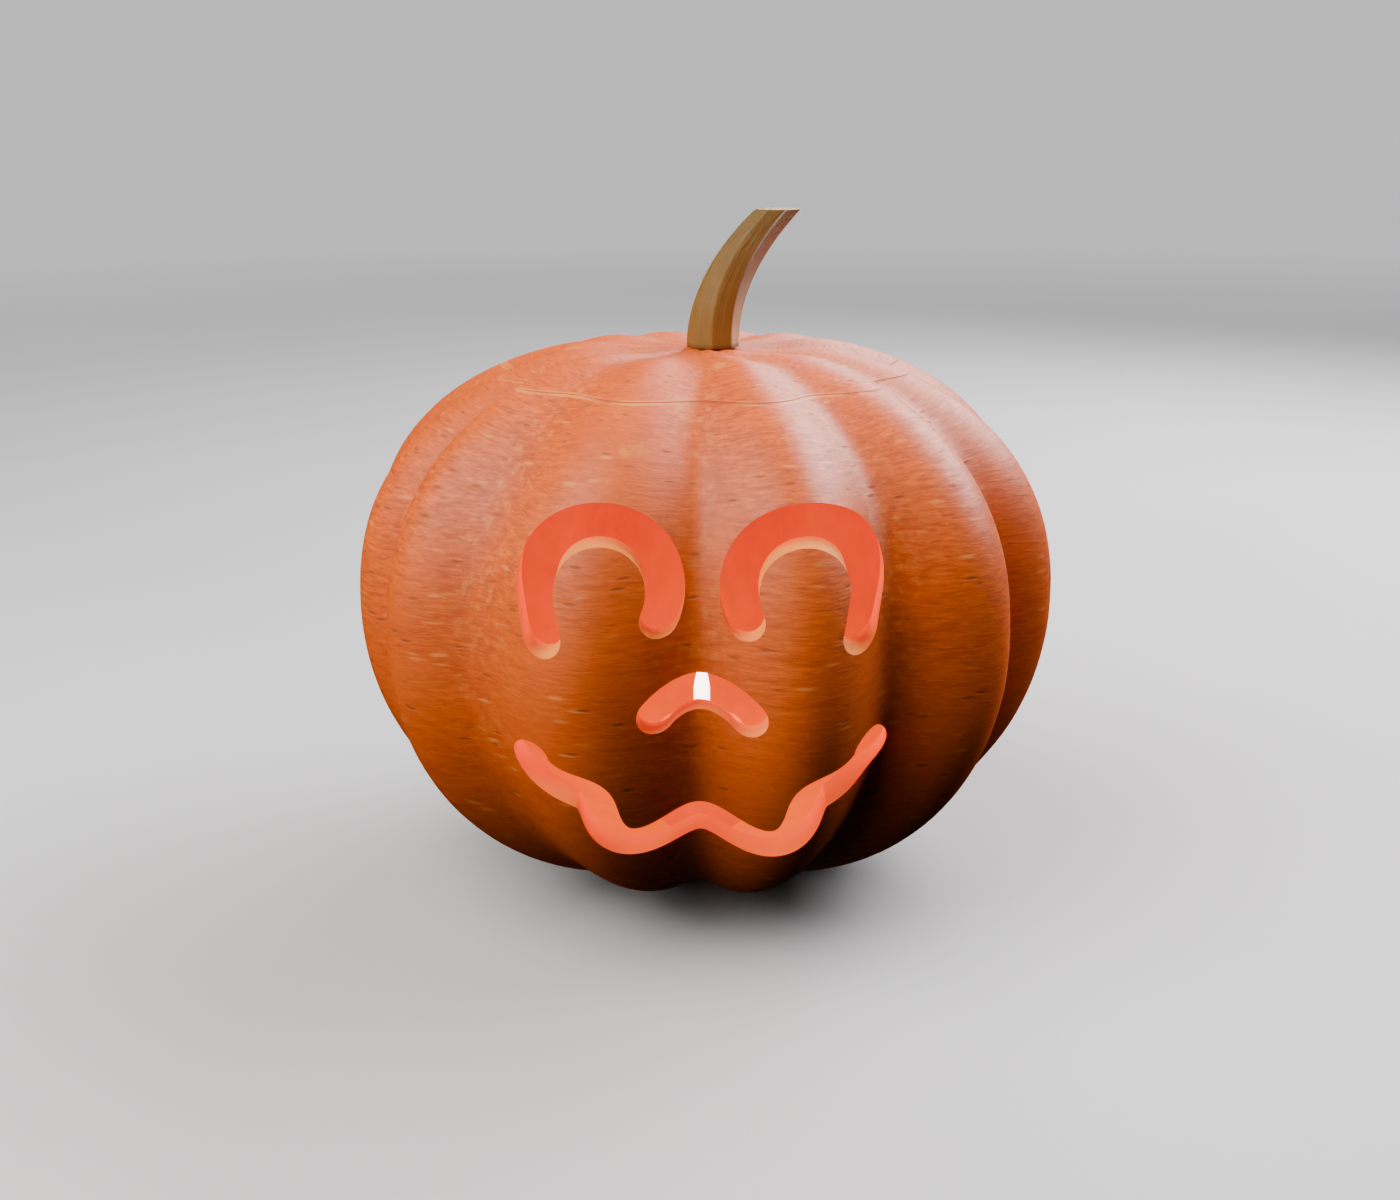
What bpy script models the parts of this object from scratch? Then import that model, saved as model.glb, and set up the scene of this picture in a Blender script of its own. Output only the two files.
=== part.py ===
"""Carved pumpkin lantern: a hollow ribbed pumpkin with a face cut through its wall, its cut-out lid and
stem, and a lit candle standing on the floor of the hollow.

Units are metres. +Z is up, the face looks along -Y, and the origin is on the pumpkin's axis, on the
surface that it rests on.
"""

import math

import bmesh
import bpy
from mathutils import Vector

# Driving sizes of the pumpkin's plain outline, before its ribs are raised and its grooves pressed in.
BODY_RADIUS = 0.150
WIDEST_Z = 0.1245
TOP_RISE = 0.1090
TOP_FULLNESS = 2.35
BOTTOM_DROP = 0.1280
BOTTOM_FULLNESS = 2.05
# The skin dips a little round the stem.
DIP_DEPTH = 0.0048
DIP_FLAT_RADIUS = 0.024
DIP_OUTER_RADIUS = 0.060

# The ribs that show from the front are uneven. One row for each: the bearing of the groove before it, in
# degrees from the face towards +X, the groove's relative depth, and the rib's bulge, as a share of the
# radius.
FRONT_RIBS = (
    (-88, 0.7, -0.012),
    (-65, 0.9, 0.030),
    (-37, 0.4, 0.035),
    (-1, 0.9, 0.035),
    (33, 0.9, 0.020),
    (66, 1.1, 0.005),
    (94, 0.8, 0.020),
)
# The ribs behind are spread evenly from this bearing on, and those nearer the sides swell out a little more.
BACK_RIBS = 5
BACK_START = 122
BACK_DEPTH = 0.85
BACK_BULGE = -0.004
SWELL_DEPTH = 0.10
SWELL_BULGE = 0.010
GROOVE_DEPTH_SIDE = 0.0195
GROOVE_DEPTH_TOP = 0.0018
GROOVE_DEPTH_BOTTOM = 0.0030
GROOVE_ROUNDNESS = 0.36
GROOVE_NARROWING = 2.8
GROOVE_FADE = 0.35
SKIN_COLUMNS = 84
SKIN_ROWS = 26
CAVITY_COLUMNS = 48
CAVITY_ROWS = 20

# The hollow follows the ribs more softly, and has a flat floor scraped for the candle.
CAVITY_RADIUS = 0.1350
CAVITY_RISE = 0.0975
CAVITY_DROP = 0.1140
CAVITY_GROOVES = 0.80
CAVITY_FLOOR_Z = 0.0140

# The lid is cut free with a knife held nearly flat, on a wide cone, so that it can't drop in.
LID_RADIUS = 0.0880
LID_CUT_Z = WIDEST_Z + 0.0950
LID_CUT_SLOPE = 12.0
LID_CUT_BELOW = 0.0060
LID_CUT_ABOVE = 0.0250
GAP = 0.0003

STEM_FOOT_X = 0.0046
STEM_FOOT_Z = WIDEST_Z + TOP_RISE - DIP_DEPTH + GAP
STEM_HEIGHT = 0.0572
STEM_RADIUS = 0.0112
STEM_TAPER = 0.0040
STEM_LEAN = 0.0272
STEM_LEAN_POWER = 2.1
STEM_TWIST = math.radians(-25)
STEM_SIDES = 8
STEM_RINGS = 12
STEM_FOOT_BEVEL = 0.0012

CANDLE_RADIUS = 0.0190
CANDLE_HEIGHT = 0.0460
CANDLE_RIM = 0.0012
CANDLE_POOL_RADIUS = 0.0150
CANDLE_POOL_DEPTH = 0.0020
WICK_RADIUS = 0.0008
WICK_HEIGHT = 0.0090
FLAME_RADIUS = 0.0041
FLAME_RISE = 0.0300
FLAME_OVERLAP = 0.0055

# The face: round-ended strokes of one width, cut straight through from front to back.
STROKE_WIDTH = 0.0145
EYE_X = 0.0375
EYE_Z = WIDEST_Z + 0.0345
EYE_RADIUS = 0.0240
EYE_LEG = 0.0120
NOSE_Z = WIDEST_Z - 0.0050
NOSE_RADIUS = 0.0230
NOSE_SPREAD = 48
MOUTH_Z = WIDEST_Z - 0.0230
MOUTH_HALF_WIDTH = 0.0590
MOUTH_DROP = 0.0440
MOUTH_SPREAD = 80
MOUTH_WAVE = 0.0065
MOUTH_WAVES = 3
FACE_CUT_NEAR_Y = -0.175
FACE_CUT_FAR_Y = -0.060


def clear_scene():
    """Remove every object, then make the collections for the parts and for the cutters."""
    for old in list(bpy.data.objects):
        bpy.data.objects.remove(old, do_unlink=True)
    parts = bpy.data.collections.new("carved_pumpkin_lantern")
    cutters = bpy.data.collections.new("cutters")
    cutters.hide_render = True
    for group in (parts, cutters):
        bpy.context.scene.collection.children.link(group)
    return parts, cutters


def finish(name, color, roughness):
    """A plain Principled material."""
    material = bpy.data.materials.new(name)
    material.use_nodes = True
    shader = material.node_tree.nodes["Principled BSDF"]
    shader.inputs["Base Color"].default_value = (*color, 1.0)
    shader.inputs["Roughness"].default_value = roughness
    shader.inputs["Metallic"].default_value = 0.0
    return material


def add_mesh(group, name, shape, material=None):
    """Link the bmesh as a new object. One without a material is a cutter."""
    mesh = bpy.data.meshes.new(name)
    shape.to_mesh(mesh)
    shape.free()
    thing = bpy.data.objects.new(name, mesh)
    group.objects.link(thing)
    if material:
        mesh.materials.append(material)
        mesh.shade_smooth()
        mesh.set_sharp_from_angle(angle=math.radians(40))
    else:
        thing.hide_render = True
        thing.display_type = "WIRE"
    return thing


def cut(target, cutter, operation="DIFFERENCE"):
    """Add a Boolean modifier that takes the cutter from the target."""
    boolean = target.modifiers.new(cutter.name, "BOOLEAN")
    boolean.operation = operation
    boolean.solver = "EXACT"
    boolean.object = cutter


# The ribbed surface -------------------------------------------------------------------------------


def back_rib(number):
    """The row of a rib behind."""
    end = 360 + FRONT_RIBS[0][0]
    bearing = BACK_START + (end - BACK_START) * number / BACK_RIBS
    swell = math.cos(math.tau * number / (BACK_RIBS - 1))
    return bearing, BACK_DEPTH - SWELL_DEPTH * swell, BACK_BULGE + SWELL_BULGE * swell


RIBS = FRONT_RIBS + tuple(back_rib(number) for number in range(BACK_RIBS))


def rib_at(turn):
    """Bearing in radians, depth in the groove (0 on a crest) and bulge (0 in a groove), for a turn from
    0 to 1 that gives every rib the same share."""
    place = (turn % 1.0) * len(RIBS)
    index = int(place)
    share = place - index
    start, start_depth, bulge = RIBS[index]
    end, end_depth, _ = RIBS[(index + 1) % len(RIBS)]
    if end < start:
        end += 360
    across = math.sin(math.pi * share)
    rounded = math.hypot(across, GROOVE_ROUNDNESS) - GROOVE_ROUNDNESS
    rounded /= math.hypot(1.0, GROOVE_ROUNDNESS) - GROOVE_ROUNDNESS
    groove = (start_depth + (end_depth - start_depth) * share) * (1 - rounded)
    return math.radians(start + (end - start) * share), groove, bulge * across ** 2


def outline(polar, radius, rise, drop):
    """Radius, height and outward normal of a plain outline at a polar angle from the top. The height
    counts from the widest level."""

    def place(angle):
        cosine = math.cos(angle)
        fullness = TOP_FULLNESS if cosine >= 0 else BOTTOM_FULLNESS
        height = rise if cosine >= 0 else drop
        return Vector((
            radius * max(math.sin(angle), 0.0) ** (2 / fullness),
            math.copysign(height * abs(cosine) ** (2 / fullness), cosine),
        ))

    step = 0.01
    along = place(min(polar + step, math.pi)) - place(max(polar - step, 0.0))
    return place(polar), Vector((-along.y, along.x)).normalized()


def stem_dip(radius):
    """How far the skin dips at a distance from the axis, near the stem."""
    share = (radius - DIP_FLAT_RADIUS) / (DIP_OUTER_RADIUS - DIP_FLAT_RADIUS)
    share = min(max(share, 0.0), 1.0)
    return DIP_DEPTH * (1 - share * share * (3 - 2 * share))


def ribbed_point(polar, turn, sizes, grooves):
    """A point of a ribbed surface: a plain outline moved along its normal by the ribs and grooves."""
    place, normal = outline(polar, *sizes)
    bearing, groove, bulge = rib_at(turn)
    end_depth = GROOVE_DEPTH_TOP if place.y > 0 else GROOVE_DEPTH_BOTTOM
    depth = end_depth + (GROOVE_DEPTH_SIDE - end_depth) * math.sin(polar) ** GROOVE_NARROWING
    depth *= grooves * min(math.sin(polar) / GROOVE_FADE, 1.0) ** 0.8
    place += normal * (bulge * BODY_RADIUS * math.sin(polar) - depth * groove)
    radius = max(place.x, 0.0)
    return Vector((radius * math.sin(bearing), -radius * math.cos(bearing), WIDEST_Z + place.y))


def skin_point(polar, turn):
    """A point of the outer skin, dipped round the stem and flat where it rests."""
    point = ribbed_point(polar, turn, (BODY_RADIUS, TOP_RISE, BOTTOM_DROP), 1.0)
    if point.z > WIDEST_Z:
        point.z -= stem_dip(math.hypot(point.x, point.y))
    point.z = max(point.z, 0.0)
    return point


def cavity_point(polar, turn):
    """A point of the hollow, flat at its floor."""
    point = ribbed_point(polar, turn, (CAVITY_RADIUS, CAVITY_RISE, CAVITY_DROP), CAVITY_GROOVES)
    point.z = max(point.z, CAVITY_FLOOR_Z)
    return point


def reshaped_sphere(around, rings, point):
    """A UV sphere whose corners are moved to point(polar, turn)."""
    shape = bmesh.new()
    bmesh.ops.create_uvsphere(shape, u_segments=around, v_segments=rings, radius=1.0)
    for corner in shape.verts:
        polar = math.acos(max(-1.0, min(1.0, corner.co.z)))
        turn = math.atan2(corner.co.x, -corner.co.y) / math.tau
        turn = round(turn * around) / around
        corner.co = point(polar, turn)
    bmesh.ops.recalc_face_normals(shape, faces=shape.faces)
    return shape


def lid_cone(cutters, name, lift):
    """The wide cone on which the lid is cut, lifted a little."""
    shape = bmesh.new()
    bmesh.ops.create_cone(
        shape,
        cap_ends=True,
        segments=96,
        radius1=LID_RADIUS - LID_CUT_BELOW * LID_CUT_SLOPE,
        radius2=LID_RADIUS + LID_CUT_ABOVE * LID_CUT_SLOPE,
        depth=LID_CUT_BELOW + LID_CUT_ABOVE,
    )
    middle = LID_CUT_Z + (LID_CUT_ABOVE - LID_CUT_BELOW) / 2 + lift
    bmesh.ops.translate(shape, verts=shape.verts, vec=(0.0, 0.0, middle))
    return add_mesh(cutters, name, shape)


# The face -----------------------------------------------------------------------------------------


def arc(center, radius, start, end, steps):
    """Points along an arc, in the plane of the face."""
    points = []
    for step in range(steps + 1):
        angle = math.radians(start + (end - start) * step / steps)
        points.append(center + radius * Vector((math.cos(angle), math.sin(angle))))
    return points


def eye_line(side):
    """Middle line of an eye: an arch whose outer leg runs on downwards. Side is -1 or 1."""
    center = Vector((0.0, EYE_Z))
    points = arc(center, EYE_RADIUS, 205, -12, 18)
    points.append(points[-1] + Vector((-0.2, -1.0)).normalized() * EYE_LEG)
    return [Vector((side * (EYE_X + point.x), point.y)) for point in points]


def nose_line():
    """Middle line of the nose: a low arch."""
    center = Vector((0.0, NOSE_Z - NOSE_RADIUS))
    return arc(center, NOSE_RADIUS, 90 + NOSE_SPREAD, 90 - NOSE_SPREAD, 8)


def mouth_line():
    """Middle line of the mouth: a wide smile that waves up and down."""
    steps = 36
    points = []
    for step in range(steps + 1):
        share = step / steps
        angle = math.radians(270 + MOUTH_SPREAD * (2 * share - 1))
        wave = MOUTH_WAVE * math.cos(math.tau * MOUTH_WAVES * share)
        across = (MOUTH_HALF_WIDTH + wave) * math.cos(angle)
        up = (MOUTH_DROP + wave) * math.sin(angle)
        points.append(Vector((across, MOUTH_Z + up)))
    return points


def stroke_outline(line):
    """The closed outline of a round-ended stroke along the line."""
    half = STROKE_WIDTH / 2
    sides = ([], [])
    headings = []
    for index, point in enumerate(line):
        ahead = line[min(index + 1, len(line) - 1)]
        behind = line[max(index - 1, 0)]
        heading = (ahead - behind).normalized()
        headings.append(math.degrees(math.atan2(heading.y, heading.x)))
        across = Vector((-heading.y, heading.x)) * half
        sides[0].append(point - across)
        sides[1].append(point + across)
    end_cap = arc(line[-1], half, headings[-1] - 90, headings[-1] + 90, 6)[1:-1]
    start_cap = arc(line[0], half, headings[0] + 90, headings[0] + 270, 6)[1:-1]
    return sides[0] + end_cap + sides[1][::-1] + start_cap


def stroke_cutter(cutters, name, line):
    """A stroke drawn in the face's plane and extruded along Y, as a mesh for a Boolean."""
    outline = stroke_outline(line)
    curve = bpy.data.curves.new(name, "CURVE")
    curve.dimensions = "2D"
    curve.fill_mode = "BOTH"
    curve.extrude = (FACE_CUT_FAR_Y - FACE_CUT_NEAR_Y) / 2
    spline = curve.splines.new("POLY")
    spline.points.add(len(outline) - 1)
    for corner, point in zip(spline.points, outline):
        corner.co = (point.x, point.y, 0.0, 1.0)
    spline.use_cyclic_u = True
    drawn = bpy.data.objects.new(name + "_curve", curve)
    drawn.location = (0.0, (FACE_CUT_NEAR_Y + FACE_CUT_FAR_Y) / 2, 0.0)
    drawn.rotation_euler = (math.pi / 2, 0.0, 0.0)
    cutters.objects.link(drawn)
    bpy.context.view_layer.update()
    graph = bpy.context.evaluated_depsgraph_get()
    mesh = bpy.data.meshes.new_from_object(drawn.evaluated_get(graph))
    shape = bmesh.new()
    shape.from_mesh(mesh)
    bmesh.ops.remove_doubles(shape, verts=shape.verts, dist=0.00001)
    bmesh.ops.recalc_face_normals(shape, faces=shape.faces)
    cutter = add_mesh(cutters, name, shape)
    cutter.matrix_world = drawn.matrix_world.copy()
    bpy.data.objects.remove(drawn, do_unlink=True)
    bpy.data.meshes.remove(mesh)
    return cutter


# The parts ----------------------------------------------------------------------------------------


def make_shell(parts, cutters, cavity):
    """The hollow pumpkin, open at the top where the lid was cut out, with the face cut through it."""
    shell = add_mesh(
        parts,
        "pumpkin_shell",
        reshaped_sphere(SKIN_COLUMNS, SKIN_ROWS, skin_point),
        finish("pumpkin_skin", (0.68, 0.22, 0.05), 0.42),
    )
    cut(shell, cavity)
    cut(shell, lid_cone(cutters, "lid_opening", 0.0))
    cut(shell, stroke_cutter(cutters, "left_eye_cut", eye_line(-1)))
    cut(shell, stroke_cutter(cutters, "right_eye_cut", eye_line(1)))
    cut(shell, stroke_cutter(cutters, "nose_cut", nose_line()))
    cut(shell, stroke_cutter(cutters, "mouth_cut", mouth_line()))
    return shell


def make_lid(parts, cutters, cavity):
    """The cap of the pumpkin, lifted out on the cone."""
    lid = add_mesh(
        parts,
        "pumpkin_lid",
        reshaped_sphere(SKIN_COLUMNS, SKIN_ROWS, skin_point),
        finish("lid_skin", (0.74, 0.27, 0.09), 0.42),
    )
    cut(lid, cavity)
    cut(lid, lid_cone(cutters, "lid_outline", GAP), "INTERSECT")
    return lid


def make_stem(parts):
    """An eight-sided stem, cut level at both ends, that bends over to one side as it narrows."""
    shape = bmesh.new()
    bmesh.ops.create_cone(
        shape, cap_ends=True, segments=STEM_SIDES, radius1=1.0, radius2=1.0, depth=1.0
    )
    long_edges = [edge for edge in shape.edges if abs(edge.verts[0].co.z - edge.verts[1].co.z) > 0.5]
    bmesh.ops.subdivide_edges(shape, edges=long_edges, cuts=STEM_RINGS - 1)
    for corner in shape.verts:
        share = corner.co.z + 0.5
        lean_slope = STEM_LEAN * STEM_LEAN_POWER / STEM_HEIGHT * share ** (STEM_LEAN_POWER - 1)
        radius = STEM_RADIUS - STEM_TAPER * share ** 1.6
        if share < 0.001:
            radius -= STEM_FOOT_BEVEL
        turn = math.atan2(corner.co.y, corner.co.x) + STEM_TWIST * share
        corner.co = Vector((
            STEM_FOOT_X + STEM_LEAN * share ** STEM_LEAN_POWER
            + radius * math.cos(turn) * math.hypot(1.0, lean_slope),
            radius * math.sin(turn),
            STEM_FOOT_Z + STEM_HEIGHT * share,
        ))
    bmesh.ops.recalc_face_normals(shape, faces=shape.faces)
    return add_mesh(parts, "pumpkin_stem", shape, finish("stem_wood", (0.30, 0.19, 0.08), 0.60))


def turned(parts, name, outline, base_z, steps, material):
    """A solid of revolution about Z from points (radius, height) that run from top to bottom."""
    mesh = bpy.data.meshes.new(name)
    points = [(radius, 0.0, height) for radius, height in outline]
    mesh.from_pydata(points, [(index, index + 1) for index in range(len(points) - 1)], [])
    mesh.materials.append(material)
    thing = bpy.data.objects.new(name, mesh)
    thing.location = (0.0, 0.0, base_z)
    parts.objects.link(thing)
    screw = thing.modifiers.new("turn", "SCREW")
    screw.steps = steps
    screw.render_steps = steps
    screw.use_merge_vertices = True
    screw.merge_threshold = 0.00001
    screw.use_smooth_shade = True
    return thing


def make_candle(parts):
    """A squat candle with a shallow melted pool, its wick, and the flame round the wick's top."""
    base = CAVITY_FLOOR_Z + GAP
    wax = [
        (0.0, CANDLE_HEIGHT - CANDLE_POOL_DEPTH),
        (CANDLE_POOL_RADIUS - CANDLE_POOL_DEPTH, CANDLE_HEIGHT - CANDLE_POOL_DEPTH),
        (CANDLE_POOL_RADIUS, CANDLE_HEIGHT),
        (CANDLE_RADIUS - CANDLE_RIM, CANDLE_HEIGHT),
        (CANDLE_RADIUS, CANDLE_HEIGHT - CANDLE_RIM),
        (CANDLE_RADIUS, CANDLE_RIM),
        (CANDLE_RADIUS - CANDLE_RIM, 0.0),
        (0.0, 0.0),
    ]
    turned(parts, "candle", wax, base, 40, finish("candle_wax", (0.80, 0.42, 0.22), 0.45))
    pool = base + CANDLE_HEIGHT - CANDLE_POOL_DEPTH
    wick = [
        (0.0, WICK_HEIGHT),
        (WICK_RADIUS / 2, WICK_HEIGHT),
        (WICK_RADIUS, WICK_HEIGHT - WICK_RADIUS / 2),
        (WICK_RADIUS, 0.0),
        (0.0, 0.0),
    ]
    turned(parts, "candle_wick", wick, pool + GAP, 10, finish("wick_char", (0.03, 0.025, 0.02), 0.9))
    wick_top = pool + GAP + WICK_HEIGHT
    flame = [(0.0, FLAME_RISE)]
    steps = 12
    for step in range(1, steps + 1):
        angle = math.pi * step / (steps + 1)
        fullness = math.sin(angle) * (0.45 + 0.55 * step / steps)
        flame.append((FLAME_RADIUS * fullness * 1.15, FLAME_RISE / 2 * (1 + math.cos(angle))))
    hollow = WICK_RADIUS + GAP
    flame.append((hollow, 0.0))
    flame.append((hollow, FLAME_OVERLAP + GAP))
    flame.append((0.0, FLAME_OVERLAP + GAP))
    turned(
        parts, "candle_flame", flame, wick_top - FLAME_OVERLAP, 20, finish("flame", (1.0, 0.9, 0.8), 0.5)
    )


def main():
    parts, cutters = clear_scene()
    cavity = add_mesh(cutters, "cavity", reshaped_sphere(CAVITY_COLUMNS, CAVITY_ROWS, cavity_point))
    make_shell(parts, cutters, cavity)
    make_lid(parts, cutters, cavity)
    make_stem(parts)
    make_candle(parts)


main()
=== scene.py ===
"""Carved pumpkin lantern: the finished look of its ribbed shell, cut-out lid, stem, candle and flame.

Units are metres. +Z is up, the face looks along -Y, and the origin is on the pumpkin's axis, on the
surface that it rests on.
"""

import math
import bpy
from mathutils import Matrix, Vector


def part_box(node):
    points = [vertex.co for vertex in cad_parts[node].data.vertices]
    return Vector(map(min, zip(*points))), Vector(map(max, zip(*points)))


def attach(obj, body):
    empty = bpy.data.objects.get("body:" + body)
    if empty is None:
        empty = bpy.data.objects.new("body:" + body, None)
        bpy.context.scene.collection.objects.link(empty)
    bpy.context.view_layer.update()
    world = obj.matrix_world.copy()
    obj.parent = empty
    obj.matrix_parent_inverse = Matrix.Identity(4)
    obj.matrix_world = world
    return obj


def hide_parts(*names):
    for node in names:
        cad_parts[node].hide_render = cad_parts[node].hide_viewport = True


bl_info = {
    "name": "Carved Pumpkin Lantern",
    "version": (1, 0, 0),
    "blender": (4, 5, 0),
    "location": "3D View > Sidebar > Pumpkin",
    "description": "Makes a carved pumpkin lantern with its lid, stem and lit candle",
    "category": "Add Mesh",
}

import bmesh
import bpy
from bpy.props import FloatProperty, FloatVectorProperty, IntProperty, PointerProperty
from mathutils import Vector
from mathutils.bvhtree import BVHTree

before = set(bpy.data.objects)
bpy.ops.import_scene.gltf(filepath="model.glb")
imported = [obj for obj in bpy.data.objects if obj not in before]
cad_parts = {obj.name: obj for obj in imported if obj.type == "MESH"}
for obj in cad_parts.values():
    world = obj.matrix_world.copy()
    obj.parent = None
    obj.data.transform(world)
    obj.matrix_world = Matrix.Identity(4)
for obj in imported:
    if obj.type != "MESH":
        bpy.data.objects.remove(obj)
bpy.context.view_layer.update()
STEM_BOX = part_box("pumpkin_stem")
CANDLE_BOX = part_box("candle")
WICK_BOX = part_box("candle_wick")
FLAME_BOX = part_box("candle_flame")

WIDEST_Z = 0.1245
# The ribs that show from the front are uneven. One row for each: the bearing of the groove before it, in
# degrees from the face towards +X, the groove's relative depth, and the rib's bulge, as a share of the
# radius.
FRONT_RIBS = (
    (-88, 0.7, -0.012),
    (-65, 0.9, 0.030),
    (-37, 0.4, 0.035),
    (-1, 0.9, 0.035),
    (33, 0.9, 0.020),
    (66, 1.1, 0.005),
    (94, 0.8, 0.020),
)
# The ribs behind are spread evenly from this bearing on, and those nearer the sides swell out a little more.
BACK_RIBS = 5
BACK_START = 122
BACK_DEPTH = 0.85
BACK_BULGE = -0.004
SWELL_DEPTH = 0.10
SWELL_BULGE = 0.010


def back_rib(number):
    """The row of a rib behind."""
    end = 360 + FRONT_RIBS[0][0]
    bearing = BACK_START + (end - BACK_START) * number / BACK_RIBS
    swell = math.cos(math.tau * number / (BACK_RIBS - 1))
    return bearing, BACK_DEPTH - SWELL_DEPTH * swell, BACK_BULGE + SWELL_BULGE * swell


RIBS = FRONT_RIBS + tuple(back_rib(number) for number in range(BACK_RIBS))


def length(name, description, default):
    """A length in metres that a user can change."""
    return FloatProperty(name=name, description=description, default=default, unit="LENGTH", precision=4)


def share(name, description, default):
    """A plain number that a user can change."""
    return FloatProperty(name=name, description=description, default=default, precision=3)


def tint(name, description, default):
    """A colour that a user can change."""
    return FloatVectorProperty(
        name=name, description=description, default=default, subtype="COLOR", size=3, min=0.0, max=1.0
    )


class PumpkinBody(bpy.types.PropertyGroup):
    """Sizes of the ribbed skin and of the hollow."""

    radius: length("Radius", "Radius of the plain outline at the widest level", 0.150)
    top_rise: length("Top rise", "Height of the top over the widest level", 0.1090)
    top_fullness: share("Top fullness", "2 is an ellipse, and more is squarer", 2.35)
    bottom_drop: length("Bottom drop", "Depth of the bottom below the widest level", 0.1280)
    bottom_fullness: share("Bottom fullness", "2 is an ellipse, and more is squarer", 2.05)
    dip_depth: length("Dip", "How far the skin dips round the stem", 0.0048)
    dip_flat: length("Dip flat", "Radius of the flat middle of the dip", 0.024)
    dip_edge: length("Dip edge", "Radius at which the dip ends", 0.060)
    groove_side: length("Groove at the side", "Depth of a groove at the widest level", 0.0195)
    groove_top: length("Groove at the top", "Depth of a groove near the stem", 0.0018)
    groove_bottom: length("Groove at the bottom", "Depth of a groove underneath", 0.0030)
    groove_roundness: share("Groove roundness", "0 is a sharp fold", 0.36)
    groove_narrowing: share("Groove narrowing", "How fast the grooves fade to the ends", 2.8)
    groove_fade: share("Groove fade", "Share of the way from an end in which grooves are cut short", 0.35)
    hollow_radius: length("Hollow radius", "Radius of the hollow at the widest level", 0.1350)
    hollow_rise: length("Hollow rise", "Height of the hollow over the widest level", 0.0975)
    hollow_drop: length("Hollow drop", "Depth of the hollow below the widest level", 0.1140)
    hollow_grooves: share("Hollow grooves", "How deep the ribs show inside, as a share", 0.80)
    hollow_floor: length("Hollow floor", "Height of the scraped floor", 0.0140)
    columns: IntProperty(name="Columns", description="Points round the skin", default=288)
    rows: IntProperty(name="Rows", description="Points from the stem to the base", default=112)


class PumpkinCuts(bpy.types.PropertyGroup):
    """Sizes of the lid's cut and of the face."""

    lid_radius: length("Lid radius", "Distance of the lid's cut from the axis", 0.0880)
    lid_height: length("Lid height", "Height of the lid's cut over the widest level", 0.0950)
    lid_slope: share("Lid slope", "Distance out for each unit up", 12.0)
    lid_gap: length("Lid gap", "Upright gap under the lid", 0.0003)
    stroke_width: length("Stroke width", "Width of every stroke of the face", 0.0145)
    eye_x: length("Eye offset", "Distance of an eye from the middle", 0.0375)
    eye_height: length("Eye height", "Height of an eye over the widest level", 0.0345)
    eye_radius: length("Eye radius", "Radius of an eye's arch", 0.0240)
    eye_leg: length("Eye leg", "Length of an eye's straight outer leg", 0.0120)
    nose_height: length("Nose height", "Height of the nose over the widest level", -0.0050)
    nose_radius: length("Nose radius", "Radius of the nose's arch", 0.0230)
    mouth_height: length("Mouth height", "Height of the mouth's ends over the widest level", -0.0230)
    mouth_half_width: length("Mouth half width", "Half of the mouth's width", 0.0590)
    mouth_drop: length("Mouth drop", "How far the mouth sags", 0.0440)
    mouth_wave: length("Mouth wave", "Height of the mouth's waves", 0.0065)


class PumpkinStem(bpy.types.PropertyGroup):
    """Sizes of the stem."""

    foot_x: length("Foot offset", "Distance of the foot from the axis", 0.0046)
    foot_z: length("Foot height", "Height of the foot", STEM_BOX[0].z)
    height: length("Height", "Upright height of the stem", STEM_BOX[1].z - STEM_BOX[0].z)
    radius: length("Radius", "Radius at the foot, over the corners", 0.0112)
    taper: length("Taper", "How much thinner the top is", 0.0040)
    lean: length("Lean", "How far the top leans over", 0.0272)
    lean_power: share("Lean power", "2 bends evenly, and more bends late", 2.1)
    twist: FloatProperty(name="Twist", description="Turn from foot to top", default=math.radians(-25), unit="ROTATION")
    sides: IntProperty(name="Sides", description="Number of flat sides", default=8)


class PumpkinColors(bpy.types.PropertyGroup):
    """Colours of every finish."""

    # The deep, fleck and dash skin colours also paint shade in the grooves and low down, and the shadow and highlight
    # along the lid's cut.
    skin: tint("Skin", "Skin of the ribs", (0.74, 0.106, 0.0030))
    skin_deep: tint("Deep skin", "Dark streaks in the skin", (0.51, 0.066, 0.0020))
    skin_pale: tint("Pale skin", "Pale streaks in the skin", (0.91, 0.146, 0.0060))
    skin_fleck: tint("Pale fleck", "Pale flecks and patches in the skin", (0.95, 0.380, 0.0850))
    skin_dash: tint("Dark dash", "Small corky dashes in the skin", (0.24, 0.060, 0.0120))
    flesh: tint("Flesh", "Pale flesh in the cut walls", (0.76, 0.290, 0.0450))
    glow_far: tint("Far glow", "Flesh lit by the candle from afar", (1.0, 0.046, 0.0002))
    glow_near: tint("Near glow", "Flesh lit by the candle from near by", (1.0, 0.125, 0.0010))
    stem_tan: tint("Tan stem", "Dry sides of the stem", (0.220, 0.117, 0.0260))
    stem_brown: tint("Brown stem", "Brown sides of the stem", (0.24, 0.125, 0.0300))
    stem_red: tint("Red stem", "Reddish edge of the stem", (0.25, 0.100, 0.0500))
    # The pith and grey colours also paint the stem's right side pale, as a painted highlight.
    stem_pith: tint("Cut stem", "Cut end and dry side of the stem", (0.50, 0.370, 0.2200))
    stem_grey: tint("Grey stem", "Upper part of the dry side of the stem", (0.40, 0.420, 0.3300))
    wax: tint("Wax", "Candle wax", (0.75, 0.180, 0.0450))
    flame: tint("Flame", "Middle of the flame", (1.0, 0.930, 0.8600))


# Node trees ---------------------------------------------------------------------------------------


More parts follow.
